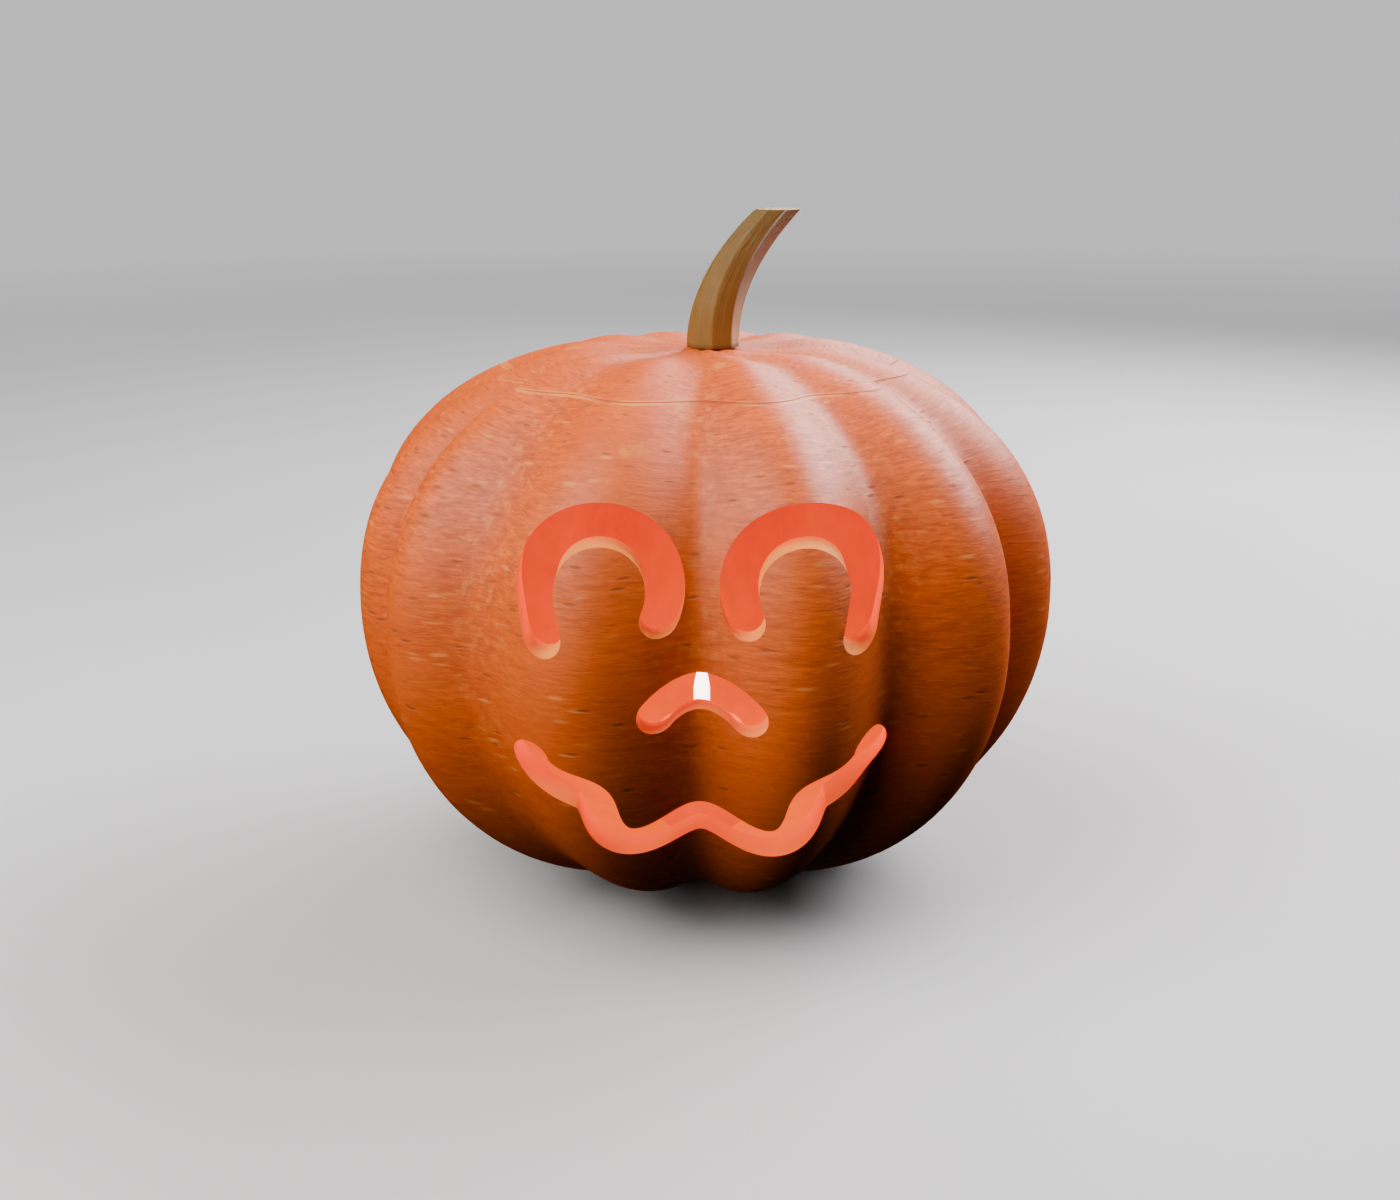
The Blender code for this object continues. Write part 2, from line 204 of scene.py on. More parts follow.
class Maker:
    """Adds nodes to a tree and wires their inputs from sockets or plain values."""

    def __init__(self, tree):
        self.tree = tree

    def add(self, kind, inputs=None, **settings):
        """A new node. Inputs are named or numbered."""
        node = self.tree.nodes.new(kind)
        for key, value in settings.items():
            setattr(node, key, value)
        for key, value in (inputs or {}).items():
            self.wire(value, node.inputs[key])
        return node

    def wire(self, value, socket):
        """Link a socket to an input, or set the input's plain value."""
        if isinstance(value, bpy.types.NodeSocket):
            self.tree.links.new(value, socket)
        else:
            socket.default_value = value

    def math(self, operation, *values, clamp=False):
        """The result of a Math node."""
        return self.add("ShaderNodeMath", dict(enumerate(values)), operation=operation, use_clamp=clamp).outputs[0]

    def vector(self, operation, *values):
        """The vector result of a Vector Math node."""
        return self.add("ShaderNodeVectorMath", dict(enumerate(values)), operation=operation).outputs[0]

    def join(self, x, y, z):
        """A vector from three numbers."""
        return self.add("ShaderNodeCombineXYZ", {0: x, 1: y, 2: z}).outputs[0]

    def split(self, vector):
        """The three numbers of a vector."""
        return self.add("ShaderNodeSeparateXYZ", {0: vector}).outputs

    def ease(self, value, start, end, low=0.0, high=1.0, kind="SMOOTHSTEP"):
        """The value eased from low to high between start and end."""
        inputs = {"Value": value, "From Min": start, "From Max": end, "To Min": low, "To Max": high}
        return self.add("ShaderNodeMapRange", inputs, interpolation_type=kind).outputs[0]

    def mix(self, factor, first, second, blend="MIX"):
        """One colour mixed with another."""
        inputs = {0: factor, 6: first, 7: second}
        return self.add("ShaderNodeMix", inputs, data_type="RGBA", blend_type=blend).outputs[2]

    def noise(self, vector, scale, detail=3.0, roughness=0.5, distortion=0.0):
        """A noise value."""
        inputs = {
            "Vector": vector, "Scale": scale, "Detail": detail, "Roughness": roughness, "Distortion": distortion
        }
        return self.add("ShaderNodeTexNoise", inputs).outputs[0]

    def cells(self, vector, scale, randomness=1.0):
        """Distance to the nearest scattered point, and that point's random colour."""
        inputs = {"Vector": vector, "Scale": scale, "Randomness": randomness}
        outputs = self.add("ShaderNodeTexVoronoi", inputs).outputs
        return outputs["Distance"], outputs["Color"]

    def group(self, tree, inputs):
        """A node group's outputs."""
        kind = "ShaderNodeGroup" if tree.bl_idname == "ShaderNodeTree" else "GeometryNodeGroup"
        node = self.add(kind, node_tree=tree)
        for name, value in inputs.items():
            self.wire(value, node.inputs[name])
        return node.outputs


SOCKETS = {
    "number": "NodeSocketFloat",
    "count": "NodeSocketInt",
    "vector": "NodeSocketVector",
    "colour": "NodeSocketColor",
    "geometry": "NodeSocketGeometry",
    "material": "NodeSocketMaterial",
}


def new_group(kind, name, inputs, outputs):
    """An empty node group with named sockets: its maker, its inputs by name, and its output node."""
    tree = bpy.data.node_groups.new(name, kind)
    for socket_name, socket_kind in inputs:
        tree.interface.new_socket(socket_name, in_out="INPUT", socket_type=SOCKETS[socket_kind])
    for socket_name, socket_kind in outputs:
        tree.interface.new_socket(socket_name, in_out="OUTPUT", socket_type=SOCKETS[socket_kind])
    start = tree.nodes.new("NodeGroupInput").outputs
    return Maker(tree), start, tree.nodes.new("NodeGroupOutput")


def outline_group():
    """Plain outline of the pumpkin: distance from the axis and height over the widest level, for a polar angle."""
    make, given, result = new_group(
        "GeometryNodeTree",
        "Plain Outline",
        (
            ("Polar Angle", "number"), ("Radius", "number"), ("Rise", "number"), ("Drop", "number"),
            ("Top Fullness", "number"), ("Bottom Fullness", "number"),
        ),
        (("Distance", "number"), ("Height", "number")),
    )
    polar = make.math("MINIMUM", make.math("MAXIMUM", given["Polar Angle"], 0.0), math.pi)
    cosine = make.math("COSINE", polar)
    upper = make.math("GREATER_THAN", cosine, -1e-6)
    fullness = make.ease(upper, 0.0, 1.0, given["Bottom Fullness"], given["Top Fullness"], "LINEAR")
    reach = make.ease(upper, 0.0, 1.0, given["Drop"], given["Rise"], "LINEAR")
    power = make.math("DIVIDE", 2.0, fullness)
    sine = make.math("MAXIMUM", make.math("SINE", polar), 0.0)
    make.wire(make.math("MULTIPLY", given["Radius"], make.math("POWER", sine, power)), result.inputs["Distance"])
    height = make.math("MULTIPLY", reach, make.math("POWER", make.math("ABSOLUTE", cosine), power))
    make.wire(make.math("MULTIPLY", height, make.math("SIGN", cosine)), result.inputs["Height"])
    return make.tree


def ribbed_tree():
    """Geometry Nodes: a grid wrapped on the plain outline, then moved along its normal by ribs and grooves.
    The geometry that comes in is the table of ribs, one point for each."""
    numbers = (
        "Radius", "Rise", "Drop", "Top Fullness", "Bottom Fullness", "Widest Level", "Floor", "Bulge Radius",
        "Groove Share", "Groove Side", "Groove Top", "Groove Bottom", "Groove Roundness", "Groove Narrowing",
        "Groove Fade", "Dip Depth", "Dip Flat", "Dip Edge", "Unevenness",
    )
    inputs = [("Ribs", "geometry"), ("Columns", "count"), ("Rows", "count"), ("Material", "material")]
    inputs += [(name, "number") for name in numbers]
    make, given, result = new_group("GeometryNodeTree", "Ribbed Pumpkin", inputs, (("Mesh", "geometry"),))
    grid = make.add(
        "GeometryNodeMeshGrid",
        {
            "Size X": 1.0, "Size Y": 1.0,
            "Vertices X": make.math("ADD", given["Columns"], 1.0),
            "Vertices Y": make.math("ADD", given["Rows"], 1.0),
        },
    )
    across, up, _ = make.split(make.add("GeometryNodeInputPosition").outputs[0])
    turn = make.math("ADD", across, 0.5)
    polar = make.math("MULTIPLY", make.math("SUBTRACT", 0.5, up), math.pi)

    # Which rib, and how far across it.
    place = make.math("MULTIPLY", turn, float(len(RIBS)))
    number = make.math("FLOOR", make.math("ADD", place, 1e-5))
    part = make.math("MAXIMUM", make.math("SUBTRACT", place, number), 0.0)
    index = make.math("MODULO", number, float(len(RIBS)))

    def looked_up(name):
        """An attribute of the rib at this index."""
        value = make.add("GeometryNodeInputNamedAttribute", {"Name": name}, data_type="FLOAT").outputs[0]
        node = make.add("GeometryNodeSampleIndex", data_type="FLOAT", domain="POINT")
        make.wire(given["Ribs"], node.inputs["Geometry"])
        make.wire(value, node.inputs["Value"])
        make.wire(index, node.inputs["Index"])
        return node.outputs[0]

    bearing = make.ease(part, 0.0, 1.0, looked_up("bearing"), looked_up("next_bearing"), "LINEAR")
    depth_here = make.ease(part, 0.0, 1.0, looked_up("depth"), looked_up("next_depth"), "LINEAR")
    crest = make.math("SINE", make.math("MULTIPLY", part, math.pi))
    bulge = make.math("MULTIPLY", looked_up("bulge"), make.math("MULTIPLY", crest, crest))

    # The groove's section: a fold with a rounded bottom.
    soft = given["Groove Roundness"]
    squared = make.math("MULTIPLY", soft, soft)
    low = make.math("SUBTRACT", make.math("SQRT", make.math("MULTIPLY_ADD", crest, crest, squared)), soft)
    high = make.math("SUBTRACT", make.math("SQRT", make.math("ADD", squared, 1.0)), soft)
    groove = make.math("MULTIPLY", depth_here, make.math("SUBTRACT", 1.0, make.math("DIVIDE", low, high)))

    outline = outline_group()

    def outlined(angle):
        """The plain outline at this angle."""
        names = ("Radius", "Rise", "Drop", "Top Fullness", "Bottom Fullness")
        outputs = make.group(outline, {"Polar Angle": angle, **{name: given[name] for name in names}})
        return outputs["Distance"], outputs["Height"]

    step = 0.01
    distance, height = outlined(polar)
    next_distance, next_height = outlined(make.math("ADD", polar, step))
    last_distance, last_height = outlined(make.math("SUBTRACT", polar, step))
    along = make.join(
        make.math("SUBTRACT", last_height, next_height), make.math("SUBTRACT", next_distance, last_distance), 0.0
    )
    normal_out, normal_up, _ = make.split(make.vector("NORMALIZE", along))

    sine = make.math("MAXIMUM", make.math("SINE", polar), 0.0)
    upper = make.math("GREATER_THAN", height, 0.0)
    end_depth = make.ease(upper, 0.0, 1.0, given["Groove Bottom"], given["Groove Top"], "LINEAR")
    narrowed = make.math("POWER", sine, given["Groove Narrowing"])
    depth = make.math("MULTIPLY_ADD", make.math("SUBTRACT", given["Groove Side"], end_depth), narrowed, end_depth)
    fade = make.math("POWER", make.math("DIVIDE", sine, given["Groove Fade"], clamp=True), 0.8)
    depth = make.math("MULTIPLY", make.math("MULTIPLY", depth, fade), given["Groove Share"])
    raised = make.math("MULTIPLY", make.math("MULTIPLY", bulge, given["Bulge Radius"]), sine)
    shift = make.math("SUBTRACT", raised, make.math("MULTIPLY", depth, groove))

    radius = make.math("MAXIMUM", make.math("MULTIPLY_ADD", normal_out, shift, distance), 0.0)
    level = make.math("ADD", given["Widest Level"], make.math("MULTIPLY_ADD", normal_up, shift, height))
    plain = make.join(
        make.math("MULTIPLY", radius, make.math("SINE", bearing)),
        make.math("MULTIPLY", radius, make.math("MULTIPLY", make.math("COSINE", bearing), -1.0)),
        level,
    )
    # A grown surface is never quite even.
    swell = make.math("SUBTRACT", make.noise(plain, 26.0, 2.0, 0.5), 0.5)
    swell = make.math("MULTIPLY", make.math("MULTIPLY", swell, given["Unevenness"]), sine)
    radius = make.math("ADD", radius, swell)
    dip = make.ease(radius, given["Dip Flat"], given["Dip Edge"], given["Dip Depth"], 0.0)
    level = make.math("SUBTRACT", level, make.math("MULTIPLY", dip, upper))
    level = make.math("MAXIMUM", level, given["Floor"])
    position = make.join(
        make.math("MULTIPLY", radius, make.math("SINE", bearing)),
        make.math("MULTIPLY", radius, make.math("MULTIPLY", make.math("COSINE", bearing), -1.0)),
        level,
    )
    return finish_tree(make, grid.outputs["Mesh"], position, given["Material"], result)


def finish_tree(make, mesh, position, material, result):
    """Move the grid into place, close its seams, and give it its material."""
    moved = make.add("GeometryNodeSetPosition", {"Geometry": mesh, "Position": position}).outputs[0]
    merged = make.add("GeometryNodeMergeByDistance", {"Geometry": moved, "Distance": 1e-6}).outputs[0]
    smooth = make.add("GeometryNodeSetShadeSmooth", {"Geometry": merged}).outputs[0]
    real = make.add("GeometryNodeRealizeInstances", {"Geometry": smooth}).outputs[0]
    painted = make.add("GeometryNodeSetMaterial", {"Geometry": real, "Material": material}).outputs[0]
    make.wire(painted, result.inputs[0])
    return make.tree


def stem_tree():
    """Geometry Nodes: a grid wrapped round a leaning, tapering, twisted stem with flat sides."""
    numbers = (
        "Foot X", "Foot Z", "Height", "Radius", "Taper", "Lean", "Lean Power", "Twist", "Sides",
        "Corner Rounding", "Fibre Depth",
    )
    inputs = [("Geometry", "geometry"), ("Columns", "count"), ("Rows", "count"), ("Material", "material")]
    inputs += [(name, "number") for name in numbers]
    make, given, result = new_group("GeometryNodeTree", "Faceted Stem", inputs, (("Mesh", "geometry"),))
    grid = make.add(
        "GeometryNodeMeshGrid",
        {
            "Size X": 1.0, "Size Y": 1.0,
            "Vertices X": make.math("ADD", given["Columns"], 1.0),
            "Vertices Y": make.math("ADD", given["Rows"], 1.0),
        },
    )
    across, up, _ = make.split(make.add("GeometryNodeInputPosition").outputs[0])
    angle = make.math("MULTIPLY", make.math("ADD", across, 0.5), math.tau)
    height = make.math("ADD", up, 0.5, clamp=True)

    # A regular polygon with softened corners, in polar form.
    wedge = make.math("DIVIDE", math.tau, given["Sides"])
    off_middle = make.math("SUBTRACT", make.math("MODULO", angle, wedge), make.math("MULTIPLY", wedge, 0.5))
    apothem = make.math("COSINE", make.math("MULTIPLY", wedge, 0.5))
    flat_side = make.math("DIVIDE", apothem, make.math("COSINE", off_middle))
    section = make.math("SMOOTH_MIN", flat_side, 0.993, given["Corner Rounding"])
    wrapped = make.join(make.math("COSINE", angle), make.math("SINE", angle), make.math("MULTIPLY", height, 0.12))
    fibre = make.math("SUBTRACT", make.noise(wrapped, 7.0, 3.0, 0.6), 0.5)
    taper = make.math("MULTIPLY", given["Taper"], make.math("POWER", height, 1.6))
    radius = make.math("MULTIPLY", make.math("SUBTRACT", given["Radius"], taper), section)
    radius = make.math("MULTIPLY_ADD", fibre, given["Fibre Depth"], radius)

    lean = make.math("MULTIPLY", given["Lean"], make.math("POWER", height, given["Lean Power"]))
    slope = make.math("POWER", height, make.math("SUBTRACT", given["Lean Power"], 1.0))
    slope = make.math("MULTIPLY", slope, make.math("MULTIPLY", given["Lean"], given["Lean Power"]))
    slope = make.math("DIVIDE", slope, given["Height"])
    stretch = make.math("SQRT", make.math("MULTIPLY_ADD", slope, slope, 1.0))
    bearing = make.math("MULTIPLY_ADD", given["Twist"], height, angle)
    out = make.math("MULTIPLY", make.math("MULTIPLY", radius, make.math("COSINE", bearing)), stretch)
    position = make.join(
        make.math("ADD", make.math("ADD", given["Foot X"], lean), out),
        make.math("MULTIPLY", radius, make.math("SINE", bearing)),
        make.math("MULTIPLY_ADD", given["Height"], height, given["Foot Z"]),
    )
    return finish_tree(make, grid.outputs["Mesh"], position, given["Material"], result)


def grown(source, tree, values):
    """The plain mesh that a Geometry Nodes tree makes of a source mesh."""
    holder = bpy.data.objects.new("source", source)
    bpy.context.scene.collection.objects.link(holder)
    modifier = holder.modifiers.new("grow", "NODES")
    modifier.node_group = tree
    for item in tree.interface.items_tree:
        if item.in_out == "INPUT" and item.name in values:
            modifier[item.identifier] = values[item.name]
    graph = bpy.context.evaluated_depsgraph_get()
    mesh = bpy.data.meshes.new_from_object(
        holder.evaluated_get(graph), preserve_all_data_layers=True, depsgraph=graph
    )
    bpy.data.objects.remove(holder, do_unlink=True)
    return mesh


def rib_table():
    """A mesh of one point for each rib, which carries the rib's numbers."""
    mesh = bpy.data.meshes.new("ribs")
    mesh.from_pydata([(number, 0.0, 0.0) for number in range(len(RIBS))], [], [])
    columns = {name: [] for name in ("bearing", "next_bearing", "depth", "next_depth", "bulge")}
    for number, (start, depth, bulge) in enumerate(RIBS):
        end, next_depth, _ = RIBS[(number + 1) % len(RIBS)]
        columns["bearing"].append(math.radians(start))
        columns["next_bearing"].append(math.radians(end + 360 * (end < start)))
        columns["depth"].append(depth)
        columns["next_depth"].append(next_depth)
        columns["bulge"].append(bulge)
    for name, values in columns.items():
        mesh.attributes.new(name, "FLOAT", "POINT").data.foreach_set("value", values)
    return mesh


def ribbed_mesh(body, material, hollow):
    """The skin, or the surface of the hollow."""
    values = {
        "Top Fullness": body.top_fullness,
        "Bottom Fullness": body.bottom_fullness,
        "Widest Level": WIDEST_Z,
        "Bulge Radius": body.radius,
        "Groove Side": body.groove_side,
        "Groove Top": body.groove_top,
        "Groove Bottom": body.groove_bottom,
        "Groove Roundness": body.groove_roundness,
        "Groove Narrowing": body.groove_narrowing,
        "Groove Fade": body.groove_fade,
        "Dip Flat": body.dip_flat,
        "Dip Edge": body.dip_edge,
        "Material": material,
    }
    if hollow:
        values.update({
            "Radius": body.hollow_radius, "Rise": body.hollow_rise, "Drop": body.hollow_drop,
            "Groove Share": body.hollow_grooves, "Dip Depth": 0.0, "Floor": body.hollow_floor,
            "Columns": body.columns // 2, "Rows": body.rows // 2, "Unevenness": 0.0006,
        })
    else:
        values.update({
            "Radius": body.radius, "Rise": body.top_rise, "Drop": body.bottom_drop,
            "Groove Share": 1.0, "Dip Depth": body.dip_depth, "Floor": 0.0,
            "Columns": body.columns, "Rows": body.rows, "Unevenness": 0.0008,
        })
    return grown(rib_table(), ribbed_tree(), values)


# Meshes -------------------------------------------------------------------------------------------


def new_object(name, mesh):
    """Link a mesh as a new object at the origin."""
    thing = bpy.data.objects.new(name, mesh)
    bpy.context.scene.collection.objects.link(thing)
    return thing


def mesh_from(shape, name, *materials):
    """A mesh from a bmesh, shaded smooth."""
    mesh = bpy.data.meshes.new(name)
    for face in shape.faces:
        face.smooth = True
    shape.to_mesh(mesh)
    shape.free()
    for material in materials:
        mesh.materials.append(material)
    return mesh


def applied(thing):
    """Make the object's modifiers part of its mesh."""
    graph = bpy.context.evaluated_depsgraph_get()
    mesh = bpy.data.meshes.new_from_object(
        thing.evaluated_get(graph), preserve_all_data_layers=True, depsgraph=graph
    )
    thing.modifiers.clear()
    thing.data = mesh
    return thing


def cut(thing, cutter, operation="DIFFERENCE"):
    """Cut a piece with another one. The new faces take the cutter's material."""
    modifier = thing.modifiers.new("cut", "BOOLEAN")
    modifier.operation = operation
    modifier.solver = "EXACT"
    modifier.material_mode = "TRANSFER"
    modifier.object = cutter
    applied(thing)


def lid_cone(cuts, lift, material):
    """The wide cone on which the lid is cut, lifted a little."""
    below, above = 0.006, 0.025
    shape = bmesh.new()
    bmesh.ops.create_cone(
        shape,
        cap_ends=True,
        segments=360,
        radius1=cuts.lid_radius - below * cuts.lid_slope,
        radius2=cuts.lid_radius + above * cuts.lid_slope,
        depth=below + above,
    )
    middle = WIDEST_Z + cuts.lid_height + (above - below) / 2 + lift
    bmesh.ops.translate(shape, verts=shape.verts, vec=(0.0, 0.0, middle))
    return new_object("lid_cone", mesh_from(shape, "lid_cone", material))


def arc(center, radius, start, end, steps):
    """Points along an arc, in the plane of the face, with angles in degrees."""
    points = []
    for step in range(steps + 1):
        angle = math.radians(start + (end - start) * step / steps)
        points.append(center + radius * Vector((math.cos(angle), math.sin(angle))))
    return points


def eye_line(cuts, side):
    """Middle line of an eye: an arch whose outer leg runs on downwards. Side is -1 or 1."""
    points = arc(Vector((0.0, WIDEST_Z + cuts.eye_height)), cuts.eye_radius, 205, -12, 60)
    down = Vector((-0.2, -1.0)).normalized()
    points += [points[-1] + down * cuts.eye_leg * step / 8 for step in range(1, 9)]
    return [Vector((side * (cuts.eye_x + point.x), point.y)) for point in points]


def nose_line(cuts):
    """Middle line of the nose: a low arch."""
    center = Vector((0.0, WIDEST_Z + cuts.nose_height - cuts.nose_radius))
    return arc(center, cuts.nose_radius, 90 + 48, 90 - 48, 28)


def mouth_line(cuts):
    """Middle line of the mouth: a wide smile that waves up and down."""
    steps = 132
    points = []
    for step in range(steps + 1):
        along = step / steps
        angle = math.radians(270 + 80 * (2 * along - 1))
        wave = cuts.mouth_wave * math.cos(math.tau * 3 * along)
        across = (cuts.mouth_half_width + wave) * math.cos(angle)
        up = (cuts.mouth_drop + wave) * math.sin(angle)
        points.append(Vector((across, WIDEST_Z + cuts.mouth_height + up)))
    return points


def stroke_outline(line, half):
    """The closed outline of a round-ended stroke along the line."""
    sides = ([], [])
    headings = []
    for index, point in enumerate(line):
        ahead = line[min(index + 1, len(line) - 1)]
        behind = line[max(index - 1, 0)]
        heading = (ahead - behind).normalized()
        headings.append(math.degrees(math.atan2(heading.y, heading.x)))
        across = Vector((-heading.y, heading.x)) * half
        sides[0].append(point - across)
        sides[1].append(point + across)
    end_cap = arc(line[-1], half, headings[-1] - 90, headings[-1] + 90, 18)[1:-1]
    start_cap = arc(line[0], half, headings[0] + 90, headings[0] + 270, 18)[1:-1]
    return sides[0] + end_cap + sides[1][::-1] + start_cap


def face_cutter(cuts, material):
    """The strokes of the face, each a closed bar along Y, as one object."""
    near_y, far_y = -0.175, -0.060
    lines = [eye_line(cuts, -1), eye_line(cuts, 1), nose_line(cuts), mouth_line(cuts)]
    shape = bmesh.new()
    for line in lines:
        outline = stroke_outline(line, cuts.stroke_width / 2)
        rings = [[shape.verts.new((point.x, y, point.y)) for point in outline] for y in (near_y, far_y)]
        shape.faces.new(rings[0])
        shape.faces.new(rings[1][::-1])
        for index in range(len(outline)):
            after = (index + 1) % len(outline)
            shape.faces.new((rings[0][index], rings[1][index], rings[1][after], rings[0][after]))
    bmesh.ops.recalc_face_normals(shape, faces=shape.faces)
    return new_object("face_cutter", mesh_from(shape, "face_cutter", material))


def mark_depth(thing, skin, hollow):
    """Store at each point how deep in the wall it is: 0 at the skin and 1 at the hollow."""
    trees = []
    for mesh in (skin, hollow):
        shape = bmesh.new()
        shape.from_mesh(mesh)
        trees.append(BVHTree.FromBMesh(shape))
        shape.free()
    depths = []
    for vertex in thing.data.vertices:
        outer = trees[0].find_nearest(vertex.co)[3]
        inner = trees[1].find_nearest(vertex.co)[3]
        depths.append(outer / max(outer + inner, 1e-6))
    thing.data.attributes.new("depth", "FLOAT", "POINT").data.foreach_set("value", depths)


def sharpen(thing, angle):
    """Smooth shading, with a crisp edge wherever faces meet at more than the angle in degrees."""
    thing.data.polygons.foreach_set("use_smooth", [True] * len(thing.data.polygons))
    thing.data.set_sharp_from_angle(angle=math.radians(angle))


def turned(name, profile, steps, materials):
    """A solid of revolution about Z from points (radius, height) that run from top to bottom."""
    shape = bmesh.new()
    points = [shape.verts.new((radius, 0.0, height)) for radius, height in profile]
    edges = [shape.edges.new(pair) for pair in zip(points, points[1:])]
    bmesh.ops.spin(
        shape, geom=points + edges, cent=(0, 0, 0), axis=(0, 0, 1), angle=math.tau, steps=steps, use_merge=True
    )
    bmesh.ops.remove_doubles(shape, verts=shape.verts, dist=1e-6)
    bmesh.ops.dissolve_degenerate(shape, dist=1e-7, edges=shape.edges)
    bmesh.ops.recalc_face_normals(shape, faces=shape.faces)
    return new_object(name, mesh_from(shape, name, *materials))


def finished(piece, node):
    """Put a finished piece in a CAD node's place."""
    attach(piece, "root")
    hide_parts(node)


# Materials ----------------------------------------------------------------------------------------


def coordinates_group():
    """Shader group: where a point lies on the pumpkin, from its own coordinates. Flow runs round the pumpkin
    and down its ribs, Groove is 1 in a groove and 0 on a crest, Level is 0 at the floor and 1 at the top, and
    Over Cut is the height over the cone on which the lid is cut."""
    make, given, result = new_group(
        "ShaderNodeTree",
        "Pumpkin Coordinates",
        (("Cut Radius", "number"), ("Cut Level", "number"), ("Cut Slope", "number")),
        (
            ("Flow", "vector"), ("Groove", "number"), ("Level", "number"), ("Radius", "number"),
            ("Over Cut", "number"),
        ),
    )
    point = make.add("ShaderNodeTexCoord").outputs["Object"]
    x, y, z = make.split(point)
    flat = make.join(x, y, 0.0)
    radius = make.add("ShaderNodeVectorMath", {0: flat}, operation="LENGTH").outputs["Value"]
    side_x, side_y, _ = make.split(make.vector("NORMALIZE", flat))
    height = make.math("SUBTRACT", z, WIDEST_Z)
    # Level lines on the sides, and rings round the stem near the top.
    crown = make.ease(height, 0.035, 0.090)
    ring = make.ease(crown, 0.0, 1.0, 0.140, radius, "LINEAR")
    polar = make.math("ARCTAN2", ring, height)
    flow = make.join(
        make.math("MULTIPLY", side_x, 0.15), make.math("MULTIPLY", side_y, 0.15), make.math("MULTIPLY", polar, 0.13)
    )
    make.wire(flow, result.inputs["Flow"])
    make.wire(radius, result.inputs["Radius"])
    make.wire(make.math("DIVIDE", z, 0.235, clamp=True), result.inputs["Level"])
    rise = make.math("DIVIDE", make.math("SUBTRACT", radius, given["Cut Radius"]), given["Cut Slope"])
    make.wire(make.math("SUBTRACT", z, make.math("ADD", given["Cut Level"], rise)), result.inputs["Over Cut"])

    bearing = make.math("ARCTAN2", x, make.math("MULTIPLY", y, -1.0))
    around = make.math("MULTIPLY_ADD", bearing, 1 / math.tau, 0.5)
    ramp = make.add("ShaderNodeValToRGB", {0: around})
    ramp.color_ramp.interpolation = "EASE"
    stops = groove_stops()
    elements = ramp.color_ramp.elements
    while len(elements) < len(stops):
        elements.new(0.5)
    for element, (position, value) in zip(elements, stops):
        element.position = position
        element.color = (value, value, value, 1.0)
    make.wire(ramp.outputs["Color"], result.inputs["Groove"])
    return make.tree


def groove_stops():
    """Stops of a ramp round the pumpkin: 1 at every groove and 0 half way between two."""
    grooves = sorted((start + 180) % 360 / 360 for start, _, _ in RIBS)
    stops = []
    for here, after in zip(grooves, grooves[1:] + [grooves[0] + 1]):
        stops += [(here, 1.0), ((here + after) / 2 % 1, 0.0)]
    stops.sort()
    # Both ends of the ramp are the same place on the back.
    (first, value), (last, last_value) = stops[0], stops[-1]
    part = (1 - last) / (first + 1 - last)
    part = part * part * (3 - 2 * part)
    seam = last_value + (value - last_value) * part
    return [(0.0, seam), *stops, (1.0, seam)]


